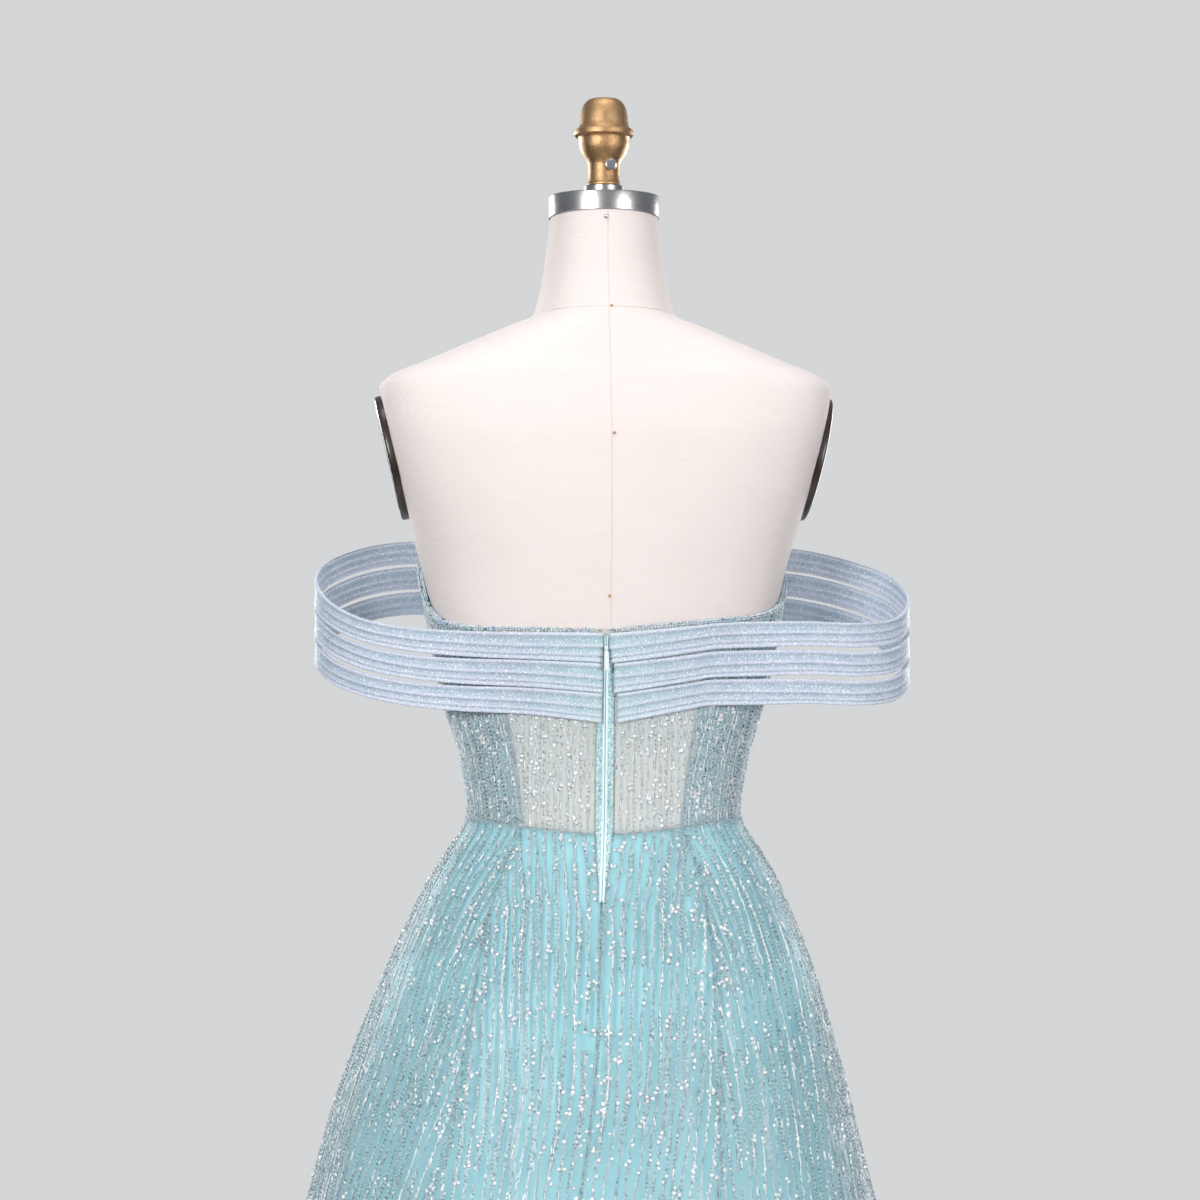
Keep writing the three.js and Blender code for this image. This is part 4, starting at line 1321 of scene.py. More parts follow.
@dataclass
class Beadwork:
    """Beads, bugles and sequins on one panel of net."""

    cloth: Cloth
    rows: Rows
    seed: int
    radius: float = 0.56
    kinds: tuple[tuple[float, str], ...] = ((0.24, "jet"), (0.54, "silver"), (0.76, "light"), (1.01, "teal"))
    thins: bool = True
    skip: Callable[[Array, Array], Array] | None = None
    sequins: float = 46.0
    bugles: float = 42.0
    bugle_step: float = 5.8
    lanes: tuple[float, ...] = (-1.5, -0.5, 0.5, 1.5)
    palest: tuple[float, float] = (0.5, 0.76)
    seam_lanes: tuple[float, ...] = (0.45, 1.9, 3.3)
    seam_kind: str = "silver"
    seam_gaps: float = 0.2

    def inside(self, across: Array, fall: Array, margin: float) -> Array:
        """Which places lie on the panel, clear of its edges by a margin."""
        width = np.interp(fall, self.cloth.fall, self.cloth.width)
        low, high = -self.cloth.zero * width, (1 - self.cloth.zero) * width
        ends = (fall > margin) & (fall < self.cloth.fall[-1] - margin)
        return ends & (across > low + margin) & (across < high - margin)

    def numbers(self) -> Array:
        """The numbers of all rows that the panel's width takes."""
        reach = int(self.cloth.width.max() / self.rows.pitch) + 2
        return np.arange(-reach, reach + 1)

    def picks(self, kind: str, count: int, rng: np.random.Generator) -> Array:
        """The tints of beads of one kind, as numbers."""
        return rng.choice(len(TINTS), count, p=TINT_SHARES[kind])

    def studs(self, lane: float, rng: np.random.Generator) -> tuple[Array, Array, Array]:
        """Places and tints for the beads of one lane.

        Args:
            lane: The lane, as -1.5, -0.5, 0.5 or 1.5.
            rng: The source of unevenness.

        Returns:
            The places across and down, and the tints' numbers.
        """
        k, fall, count = self.rows.falls(self.numbers(), lane, self.cloth.fall[-1])
        across = self.rows.line(k, fall) + lane * self.rows.lane
        keep = self.rows.present(k, fall) & self.inside(across, fall, 0.35)
        if abs(lane) > 1:
            keep &= self.rows.third(k, fall)
        across, fall, count, kind = across[keep], fall[keep], count[keep], self.rows.kind(k, lane)[keep]
        # Every second bead of a lane is dark and the rest silver, unless the lane's kind picks other tints below.
        pick = np.where(count % 2 == 0, DARK, BRIGHT)
        spread = np.full(len(across), 0.1)
        low = 0.0
        for high, name in self.kinds:
            mine = (kind >= low) & (kind < high)
            if name != "jet":
                pick[mine] = self.picks(name, int(mine.sum()), rng)
                spread[mine] = 0.3
            low = high
        return across + rng.normal(0, 1, len(across)) * spread, fall + rng.normal(0, 1, len(fall)) * spread, pick

    def beside_seams(self, rng: np.random.Generator) -> tuple[Array, Array, Array]:
        """Places and tints for the beads that crowd along the panel's seams."""
        made = []
        for edge, sign in ((0, 1), (1, -1)):
            if edge == self.cloth.zero:
                continue
            for lane in self.seam_lanes:
                fall = np.arange(0.9, self.cloth.fall[-1], self.rows.step) + rng.normal(0, 0.25)
                fall = fall + rng.normal(0, 0.3, len(fall))
                width = np.interp(fall, self.cloth.fall, self.cloth.width)
                wave = (0.3 * np.sin(fall / 9 + lane) + rng.normal(0, 0.25, len(fall))) * (lane > 1)
                dense = np.sin(fall / 37 + 3 * lane + self.seed) + rng.normal(0, 0.25, len(fall))
                keep = dense > self.seam_gaps * lane - 1
                across = (edge - self.cloth.zero) * width + sign * (lane + wave)
                made.append(np.stack([across[keep], fall[keep]]))
        across, fall = np.concatenate(made, axis=1)
        keep = self.inside(across, fall, 0.2)
        return across[keep], fall[keep], self.picks(self.seam_kind, int(keep.sum()), rng)

    def loose(self, step: float, rng: np.random.Generator, margin: float) -> tuple[Array, Array]:
        """Places for larger things, some way apart along the rows."""
        falls = np.arange(step / 2, self.cloth.fall[-1], step)
        k, fall = np.meshgrid(self.numbers(), falls, indexing="ij")
        fall = fall + rng.uniform(-0.5, 0.5, fall.shape) * step
        across = self.rows.line(k, fall) + rng.normal(0, 0.9, fall.shape)
        keep = self.rows.present(k, fall) & self.inside(across, fall, margin)
        return across[keep], fall[keep]

    def lined(self, rng: np.random.Generator) -> tuple[Array, Array]:
        """Places for bugles that lie end to end, on the palest rows."""
        k, fall = np.meshgrid(self.numbers(), np.arange(4.0, self.cloth.fall[-1], self.bugle_step), indexing="ij")
        kind = self.rows.kind(k, 0.0)
        keep = (kind > self.palest[0]) & (kind < self.palest[1]) & (np.sin(fall / 43 + 2.3 * k) > -0.45)
        across = self.rows.line(k, fall) + rng.normal(0, 0.15, fall.shape)
        keep &= self.inside(across, fall, 3.0)
        return across[keep], fall[keep]

    def sew(
        self,
        shape: BeadShape,
        across: Array,
        fall: Array,
        pick: Array,
        size: tuple[float, float, float],
        rng: np.random.Generator,
    ) -> Sewn:
        """Sews small things of one shape at places on the cloth."""
        stud, bugle = shape is BeadShape.STUD, shape is BeadShape.BUGLE
        share, row = self.cloth.share_of(across, fall)
        height = self.cloth.at(self.cloth.height, share, row)
        angle = self.cloth.at(self.cloth.angle, share, row)
        keep = np.ones(len(share), bool)
        if self.skip is not None:
            keep &= ~self.skip(height, angle)
        if self.thins:
            chance = 0.06 + (0.89 if stud else 0.93) * ease(height, 520, 730) ** 2
            keep &= rng.random(len(height)) < chance
        share, row, pick = share[keep], row[keep], pick[keep]
        count = len(share)
        normal = self.cloth.at(self.cloth.normal, share, row)
        normal /= np.linalg.norm(normal, axis=1, keepdims=True)
        right = squared(self.cloth.at(self.cloth.right, share, row), normal)
        place = self.cloth.at(self.cloth.outer, share, row) + normal * size[2] * 0.4
        normal = tilted(normal, rng, 0.05 if bugle else 0.25)
        right = squared(right, normal)
        right = turned_about(right, normal, rng.uniform(0, math.pi, count) if stud else rng.normal(0, 0.1, count))
        sizes = np.array(size)[None] * rng.uniform(0.8, 1.2, (count, 1))
        if bugle:
            sizes[:, 1] *= rng.uniform(0.6, 1.6, count)
        tint = TINTS[pick].copy()
        tint[:, :3] *= rng.uniform(0.8, 1.05, (count, 1))
        return Sewn(shape, place, right, normal, sizes, np.clip(tint, 0, 1))

    def groups(self) -> list[Sewn]:
        """All the small things of the panel."""
        rng = np.random.default_rng(self.seed)
        r = self.radius
        made = [self.sew(BeadShape.STUD, *self.studs(lane, rng), (r, r, r * 1.2), rng) for lane in self.lanes]
        made.append(self.sew(BeadShape.STUD, *self.beside_seams(rng), (r, r, r * 1.2), rng))
        across, fall = self.loose(self.bugles, rng, 3.5)
        lined = self.lined(rng)
        across, fall = np.concatenate([across, lined[0]]), np.concatenate([fall, lined[1]])
        made.append(self.sew(BeadShape.BUGLE, across, fall, self.picks("white", len(fall), rng), (0.5, 2.3, 0.7), rng))
        across, fall = self.loose(self.sequins, rng, 2.0)
        for part in (0.35, 0.35):
            more = rng.random(len(across)) < part
            across = np.concatenate([across, across[more] + rng.uniform(-2.6, 2.6, more.sum())])
            fall = np.concatenate([fall, fall[more] + rng.uniform(2.8, 5.0, more.sum())])
        if self.thins:
            count = int(self.cloth.fall[-1] / 4)
            edge, down = rng.integers(0, 2, count), rng.uniform(2, self.cloth.fall[-1], count)
            width = np.interp(down, self.cloth.fall, self.cloth.width)
            beside = (edge - self.cloth.zero) * width + (1 - 2 * edge) * (2 + np.abs(rng.normal(0, 9, count)))
            across, fall = np.concatenate([across, beside]), np.concatenate([fall, down])
        inside = self.inside(across, fall, 2.0)
        across, fall = across[inside], fall[inside]
        made.append(self.sew(BeadShape.DISC, across, fall, self.picks("white", len(fall), rng), (1.95, 1.95, 0.95), rng))
        return made


@dataclass
class Studio:
    """The plain pale floor, the soft lights and the camera."""

    azimuth: float = 176.0
    distance: float = 2.5
    eye: float = 1.235
    lens: float = 87.2
    aim: float = 0.0034
    floor: float = 60.0
    dim: tuple[float, float, float] = (0.80, 0.88, 1.0)
    dim_strength: float = 0.32
    pale: tuple[float, float, float] = (0.66, 0.67, 0.68)
    lights: tuple[tuple[str, tuple[float, float, float], float, float], ...] = (
        ("key", (1.9, 2.9, 2.0), 1.3, 80.0),
        ("fill", (-2.2, 2.8, 1.6), 1.5, 60.0),
        ("top", (0.0, 0.4, 3.6), 1.8, 30.0),
        ("front_left", (1.9, -2.9, 1.6), 1.5, 66.0),
        ("front_right", (-2.2, -2.8, 1.3), 1.5, 60.0),
    )

    def camera(self) -> None:
        """Sets up the camera."""
        data = bpy.data.cameras.new("camera")
        data.lens, data.sensor_width = self.lens, 36.0
        data.clip_start, data.clip_end = 0.05, 100.0
        camera = bpy.data.objects.new("camera", data)
        a = math.radians(self.azimuth)
        camera.location = (self.distance * math.sin(a), -self.distance * math.cos(a), self.eye)
        look = Vector((self.aim, 0, self.eye)) - camera.location
        camera.rotation_euler = look.to_track_quat("-Z", "Y").to_euler()
        bpy.context.scene.collection.objects.link(camera)
        bpy.context.scene.camera = camera

    def ground(self) -> None:
        """Lays the floor and sets the pale surroundings."""
        bpy.ops.object.select_all(action="DESELECT")
        bpy.ops.mesh.primitive_plane_add(size=self.floor, location=(0, 0, 0))
        floor = bpy.context.object
        floor.name = "floor"
        made = bpy.data.materials.new("floor")
        made.use_nodes = True
        g, shader = Graph(made.node_tree), made.node_tree.nodes["Principled BSDF"]
        far = g.add("VectorMath", {0: g.add("TexCoord").outputs["Object"]}, operation="LENGTH").outputs["Value"]
        fade = g.between(far, 0.9, 3.0)
        g.feed(shader.inputs["Base Color"], g.mix(fade, (0.62, 0.62, 0.62, 1), (0, 0, 0, 1)))
        g.feed(shader.inputs["Emission Color"], g.mix(fade, (0, 0, 0, 1), (*self.pale, 1)))
        g.feed(shader.inputs["Emission Strength"], g.add("LightPath").outputs["Is Camera Ray"])
        shader.inputs["Roughness"].default_value = 0.9
        shader.inputs["Specular IOR Level"].default_value = 0.0
        floor.data.materials.append(made)
        world = bpy.data.worlds.new("surroundings")
        world.use_nodes = True
        tree = world.node_tree
        seen = tree.nodes.new("ShaderNodeLightPath").outputs["Is Camera Ray"]
        dim = tree.nodes["Background"]
        pale = tree.nodes.new("ShaderNodeBackground")
        for node, colour, strength in ((dim, self.dim, self.dim_strength), (pale, self.pale, 1.0)):
            node.inputs[0].default_value = (*colour, 1)
            node.inputs[1].default_value = strength
        both = tree.nodes.new("ShaderNodeMixShader")
        tree.links.new(seen, both.inputs[0])
        tree.links.new(dim.outputs[0], both.inputs[1])
        tree.links.new(pale.outputs[0], both.inputs[2])
        tree.links.new(both.outputs[0], tree.nodes["World Output"].inputs[0])
        bpy.context.scene.world = world
        bpy.context.scene.view_settings.view_transform = "Standard"

    def light(self) -> None:
        """Hangs the soft lights, each turned to the gown."""
        for name, place, size, power in self.lights:
            data = bpy.data.lights.new(name, "AREA")
            data.shape, data.size, data.energy = "DISK", size, power
            lamp = bpy.data.objects.new(name, data)
            lamp.location = place
            lamp.rotation_euler = (Vector((0, 0, 1.3)) - lamp.location).to_track_quat("-Z", "Y").to_euler()
            bpy.context.scene.collection.objects.link(lamp)

    def build(self) -> None:
        """Builds the studio."""
        self.camera()
        self.ground()
        self.light()


def edit_all() -> None:
    """Opens the active mesh for editing with all of it selected."""
    bpy.ops.object.mode_set(mode="EDIT")
    bpy.ops.mesh.select_all(action="SELECT")


def close_edit(smooth: float | None = 35.0) -> bpy.types.Object:
    """Ends editing, smooths the shading below an angle, and gives the object."""
    bpy.ops.object.mode_set(mode="OBJECT")
    piece = bpy.context.object
    if smooth is not None:
        bpy.ops.object.shade_smooth_by_angle(angle=math.radians(smooth))
    return piece


def spin_profile(name: str, profile: Sequence[tuple[float, float]], steps: int = 96) -> bpy.types.Object:
    """Turns a profile about the pole.

    Args:
        name: The piece's name.
        profile: Radius and height of each of its points, upwards.
        steps: How many sides it has.

    Returns:
        The closed piece.
    """
    bpy.ops.object.select_all(action="DESELECT")
    bpy.ops.mesh.primitive_plane_add(size=0.001, location=(0, 0, 0))
    edit_all()
    bpy.ops.mesh.merge(type="CENTER")
    last = (0.0, 0.0)
    for i, (radius, height) in enumerate(profile):
        move = ((radius - last[0]) * MM, 0, (height - last[1]) * MM)
        if i == 0:
            bpy.ops.transform.translate(value=move)
        else:
            bpy.ops.mesh.extrude_region_move(TRANSFORM_OT_translate={"value": move})
        last = (radius, height)
    bpy.ops.mesh.select_all(action="SELECT")
    bpy.ops.mesh.spin(steps=steps, angle=2 * math.pi, center=(0, 0, 0), axis=(0, 0, 1))
    bpy.ops.mesh.select_all(action="SELECT")
    bpy.ops.mesh.remove_doubles(threshold=1e-6)
    bpy.ops.mesh.normals_make_consistent(inside=False)
    piece = close_edit()
    piece.name = name
    return piece


def apply_place(piece: bpy.types.Object) -> None:
    """Moves a piece's place into its mesh."""
    bpy.ops.object.select_all(action="DESELECT")
    piece.select_set(True)
    bpy.context.view_layer.objects.active = piece
    bpy.ops.object.transform_apply(location=True, rotation=True, scale=True)


def join(name: str, *pieces: bpy.types.Object) -> bpy.types.Object:
    """Joins pieces into the first one, under a new name."""
    bpy.ops.object.select_all(action="DESELECT")
    for piece in pieces:
        piece.select_set(True)
    bpy.context.view_layer.objects.active = pieces[0]
    if len(pieces) > 1:
        bpy.ops.object.join()
    pieces[0].name = name
    return pieces[0]


def bevelled(piece: bpy.types.Object, width: float, segments: int = 3) -> bpy.types.Object:
    """Rounds a piece's edges.

    Args:
        piece: The piece.
        width: The width of the rounding, in metres.
        segments: How many steps it has.

    Returns:
        The piece.
    """
    bpy.ops.object.select_all(action="DESELECT")
    piece.select_set(True)
    bpy.context.view_layer.objects.active = piece
    modifier = piece.modifiers.new("rounding", "BEVEL")
    modifier.width, modifier.segments, modifier.angle_limit = width, segments, math.radians(40)
    bpy.ops.object.modifier_apply(modifier=modifier.name)
    bpy.ops.object.shade_smooth_by_angle(angle=math.radians(40))
    return piece


def block(size: tuple[float, float, float], place: Sequence[float]) -> bpy.types.Object:
    """Adds a block of a size at a place, in metres, with its place in its mesh."""
    bpy.ops.object.select_all(action="DESELECT")
    bpy.ops.mesh.primitive_cube_add(size=1, location=tuple(place))
    piece = bpy.context.object
    piece.scale = size
    apply_place(piece)
    return piece


@dataclass
class DressForm:
    """The linen body with its plates, cap, finial and pins, and the stand."""

    sides: int = 120
    ring_steps: tuple[tuple[float, float, float], ...] = (
        (790, 1210, 12),
        (1210, 1400, 6),
        (1400, 1500, 2.5),
        (1500, 1562, 5),
    )
    arm_height: float = 1407.0
    arm_reach: float = 190.7
    arm_lean: float = 0.232
    plate_height: float = 1357.0
    pins: tuple[tuple[float, float], ...] = ((-2.2, 1482.0), (-2.0, 1373.5), (1.6, 1238.5))
    finial_profile: tuple[tuple[float, float], ...] = (
        (0, 0),
        (13.9, 0),
        (14.6, 0.6),
        (14.6, 1.8),
        (13.9, 2.6),
        (13.5, 3.6),
        (13.5, 10),
        (13.5, 17.2),
        (13.9, 19.4),
        (15.1, 22.2),
        (16.9, 24.6),
        (18.7, 27.5),
        (20.3, 30.6),
        (21.2, 33.8),
        (21.6, 37.5),
        (21.5, 40.6),
        (22.2, 41.9),
        (24.6, 42.5),
        (25.6, 43.6),
        (25.8, 45.8),
        (25.5, 47.6),
        (24.4, 48.5),
        (22.3, 49.3),
        (21.4, 51.2),
        (21.1, 54),
        (20.6, 59),
        (19.3, 65.2),
        (18.2, 68.3),
        (16.5, 71.1),
        (14.4, 73.2),
        (12.2, 74.5),
        (9, 75.1),
        (0, 75.1),
    )

    def torso(self) -> None:
        """Shapes the body: rings drawn up from a circle, moved to the form, then cut flat at each arm."""
        heights = [h for low, high, step in self.ring_steps for h in np.arange(low, high, step)] + [NECK_TOP]
        bpy.ops.object.select_all(action="DESELECT")
        bpy.ops.mesh.primitive_circle_add(
            vertices=self.sides, radius=0.1, fill_type="NGON", location=(0, 0, heights[0] * MM)
        )
        apply_place(bpy.context.object)
        edit_all()
        for low, high in zip(heights, heights[1:]):
            bpy.ops.mesh.extrude_region_move(TRANSFORM_OT_translate={"value": (0, 0, (high - low) * MM)})
        bpy.ops.object.mode_set(mode="OBJECT")
        piece = bpy.context.object
        piece.name = "linen_form"
        points = np.zeros(len(piece.data.vertices) * 3, np.float32)
        piece.data.vertices.foreach_get("co", points)
        points = points.reshape(-1, 3).astype(float)
        height = points[:, 2] / MM
        angle = np.degrees(np.arctan2(points[:, 0], points[:, 1]))
        under = FORM_EASE * ease(bodice_edge(angle) - height, 0, 7)
        shaped = off_surface(form_radius, height, angle, -under)
        shaped[:, 2] += np.where(height > NECK_TOP - 0.5, NECK_SLOPE * shaped[:, 1], 0)
        piece.data.vertices.foreach_set("co", (shaped * MM).astype(np.float32).ravel())
        piece.data.update()
        for side in Side:
            self.cut_arm(piece, side)
        edit_all()
        bpy.ops.mesh.normals_make_consistent(inside=False)
        close_edit(38)
        dress(piece, LINEN, "form_torso")

    def cut_arm(self, piece: bpy.types.Object, side: Side) -> None:
        """Cuts the body flat where an arm plate goes."""
        lean = math.atan(self.arm_lean)
        for polygon in piece.data.polygons:
            polygon.select = polygon.center.z > 1.27 and polygon.center.x * side.value > 0.08
        bpy.ops.object.mode_set(mode="EDIT")
        bpy.ops.mesh.bisect(
            plane_co=(side.value * self.arm_reach * MM, 0, self.arm_height * MM),
            plane_no=(side.value * math.cos(lean), 0, -math.sin(lean)),
            use_fill=True,
            clear_outer=True,
        )
        bpy.ops.mesh.select_all(action="DESELECT")
        bpy.ops.object.mode_set(mode="OBJECT")

    def neck_seam(self) -> None:
        """Lays the corded seam between the neck and the body."""
        angle = np.linspace(0, 360, 181)[:-1]
        height = 1477.5 + 4.5 * np.cos(np.radians(angle))
        turn = np.linspace(0, 2 * math.pi, 7)[:-1]
        centre = off_surface(form_radius, height, angle, 0.0)
        out = off_surface(form_radius, height, angle, 1.0) - centre
        rings = centre[:, None] + 0.45 * (
            np.cos(turn)[None, :, None] * out[:, None] + np.sin(turn)[None, :, None] * np.array([0, 0, 1.0])
        )
        count, around = rings.shape[:2]
        index = np.arange(count * around).reshape(count, around)
        right, up = np.roll(index, -1, axis=0), np.roll(index, -1, axis=1)
        faces = np.stack([index, right, np.roll(right, -1, axis=1), up], -1).reshape(-1, 4)
        piece = new_mesh("neck_seam_cord", rings.reshape(-1, 3), faces)
        bpy.ops.object.select_all(action="DESELECT")
        piece.select_set(True)
        bpy.context.view_layer.objects.active = piece
        edit_all()
        bpy.ops.mesh.normals_make_consistent(inside=False)
        close_edit(60)
        dress(piece, LINEN)

    def plates(self) -> None:
        """Makes the two oval arm plates."""
        lean = math.atan(self.arm_lean)
        for name, side in (("left", Side.LEFT), ("right", Side.RIGHT)):
            bpy.ops.object.select_all(action="DESELECT")
            bpy.ops.mesh.primitive_cylinder_add(vertices=96, radius=1, depth=1)
            piece = bpy.context.object
            piece.scale = (0.054, 0.045, 0.0062)
            apply_place(piece)
            bpy.ops.object.mode_set(mode="EDIT")
            bpy.ops.mesh.select_all(action="DESELECT")
            bpy.ops.object.mode_set(mode="OBJECT")
            for polygon in piece.data.polygons:
                polygon.select = polygon.normal.z > 0.9
            bpy.ops.object.mode_set(mode="EDIT")
            bpy.ops.mesh.bevel(offset=0.0028, segments=5, affect="EDGES")
            bpy.ops.mesh.select_all(action="DESELECT")
            bpy.ops.object.mode_set(mode="OBJECT")
            for polygon in piece.data.polygons:
                polygon.select = polygon.normal.z > 0.999 and len(polygon.vertices) > 8
            bpy.ops.object.mode_set(mode="EDIT")
            bpy.ops.mesh.inset(thickness=0.006, depth=-0.0004)
            bpy.ops.mesh.inset(thickness=0.0012, depth=0.0008)
            close_edit(32)
            reach = self.arm_reach + self.arm_lean * (self.plate_height - self.arm_height) + SEAM
            piece.location = (0, 0, 0.0031)
            apply_place(piece)
            piece.rotation_euler = (0, side.value * (math.pi / 2 + lean), 0)
            piece.location = (side.value * reach * MM, 0, self.plate_height * MM)
            apply_place(piece)
            piece.name = f"arm_plate_{name}"
            dress(piece, VARNISH, f"form_arm_plate_{name}")

    def cap(self) -> None:
        """Makes the steel cap, whose lower edge follows the neck, and the washer on it."""
        low = NECK_TOP + SEAM
        profile = ((0, low), (46.9, low), (47.4, low + 0.5), (47.4, low + 9), (47.4, CAP_TOP - 1.2))
        rounded = ((47.25, CAP_TOP - 0.55), (46.7, CAP_TOP - 0.12), (46, CAP_TOP), (20, CAP_TOP), (0, CAP_TOP))
        piece = spin_profile("neck_cap", (*profile, *rounded), 128)
        for vertex in piece.data.vertices:
            if vertex.co.z < (low + 1) * MM:
                vertex.co.z += NECK_SLOPE * vertex.co.y
        dress(piece, STEEL, "form_neck_cap")
        foot = CAP_TOP + SEAM
        ring = ((0, foot), (16.6, foot), (17.2, foot + 0.6), (17.2, foot + 7.8), (16.6, foot + 8.4), (0, foot + 8.4))
        dress(spin_profile("cap_washer", ring, 96), STEEL, "form_cap_washer")

    def finial(self) -> None:
        """Makes the cast finial and its screw."""
        foot = 1590.8
        points = [(radius, foot + rise) for radius, rise in self.finial_profile]
        dress(spin_profile("finial", points, 112), GOLD, "form_finial")
        low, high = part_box("form_set_screw")
        middle = (low + high) / 2
        radius = (high.z - low.z) / 2
        bpy.ops.object.select_all(action="DESELECT")
        bpy.ops.mesh.primitive_cylinder_add(vertices=48, radius=radius, depth=high.y - low.y, location=(0, 0, 0))
        piece = bpy.context.object
        piece.rotation_euler = (-math.pi / 2, 0, 0)
        apply_place(piece)
        bevelled(piece, 0.0012, 4)
        for turn in (0.35, 0.35 + math.pi / 2):
            slot = block((radius * 1.25, 0.0016, 0.0012), (0, (high.y - low.y) / 2, 0))
            slot.rotation_euler = (0, turn, 0)
            apply_place(slot)
            cut = piece.modifiers.new("slot", "BOOLEAN")
            cut.operation, cut.object, cut.solver = "DIFFERENCE", slot, "EXACT"
            bpy.ops.object.select_all(action="DESELECT")
            piece.select_set(True)
            bpy.context.view_layer.objects.active = piece
            bpy.ops.object.modifier_apply(modifier=cut.name)
            bpy.data.objects.remove(slot)
        piece.location = middle
        apply_place(piece)
        bpy.ops.object.shade_smooth_by_angle(angle=math.radians(35))
        piece.name = "finial_screw"
        dress(piece, SCREW_STEEL, "form_set_screw")

    def pin(self, name: str, across: float, height: float, radius: float, finish: Finish) -> None:
        """Pushes one round-headed pin into the centre back."""
        level = np.array([height])
        centre = off_surface(form_radius, level, angle_across(form_radius, level, across), 0.4)[0] * MM
        bpy.ops.object.select_all(action="DESELECT")
        bpy.ops.mesh.primitive_uv_sphere_add(segments=20, ring_count=12, radius=radius, location=tuple(centre))
        piece = bpy.context.object
        piece.scale = (1, 0.55, 1)
        apply_place(piece)
        bpy.ops.object.shade_smooth_by_angle(angle=math.radians(60))
        piece.name = name
        dress(piece, finish)

    def stand(self) -> None:
        """Makes the pole and the round foot, finer than their solids."""
        low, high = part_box("stand_pole")
        bottom, top = low.z / MM, high.z / MM
        pole = ((0, bottom), (16, bottom), (16, (bottom + top) / 2), (16, top), (0, top))
        dress(spin_profile("pole", pole, 64), STAND_PAINT, "stand_pole")
        rim = ((0, 0), (223.4, 0), (225, 1.6), (225, 7.2), (224.2, 8.6), (221.5, 9.3))
        rise = ((150, 11.4), (100, 12.9), (74, 14), (60, 15.8), (47, 19), (37.5, 22.8), (31, 28.5), (27, 36))
        collar = ((24.8, 45), (24, 52), (24, 60), (23.3, 61.4), (21.8, 62), (0, 62))
        dress(spin_profile("foot", (*rim, *rise, *collar), 160), STAND_PAINT, "stand_base")

    def build(self) -> None:
        """Builds the form and its stand."""
        self.torso()
        self.neck_seam()
        self.plates()
        self.cap()
        self.finial()
        for i, (across, height) in enumerate(self.pins):
            self.pin(f"pin_{i + 1}", across, height, 0.0013, GOLD)
        self.pin("neck_pin", 1.2, 1559.0, 0.0021, SCREW_STEEL)
        self.stand()


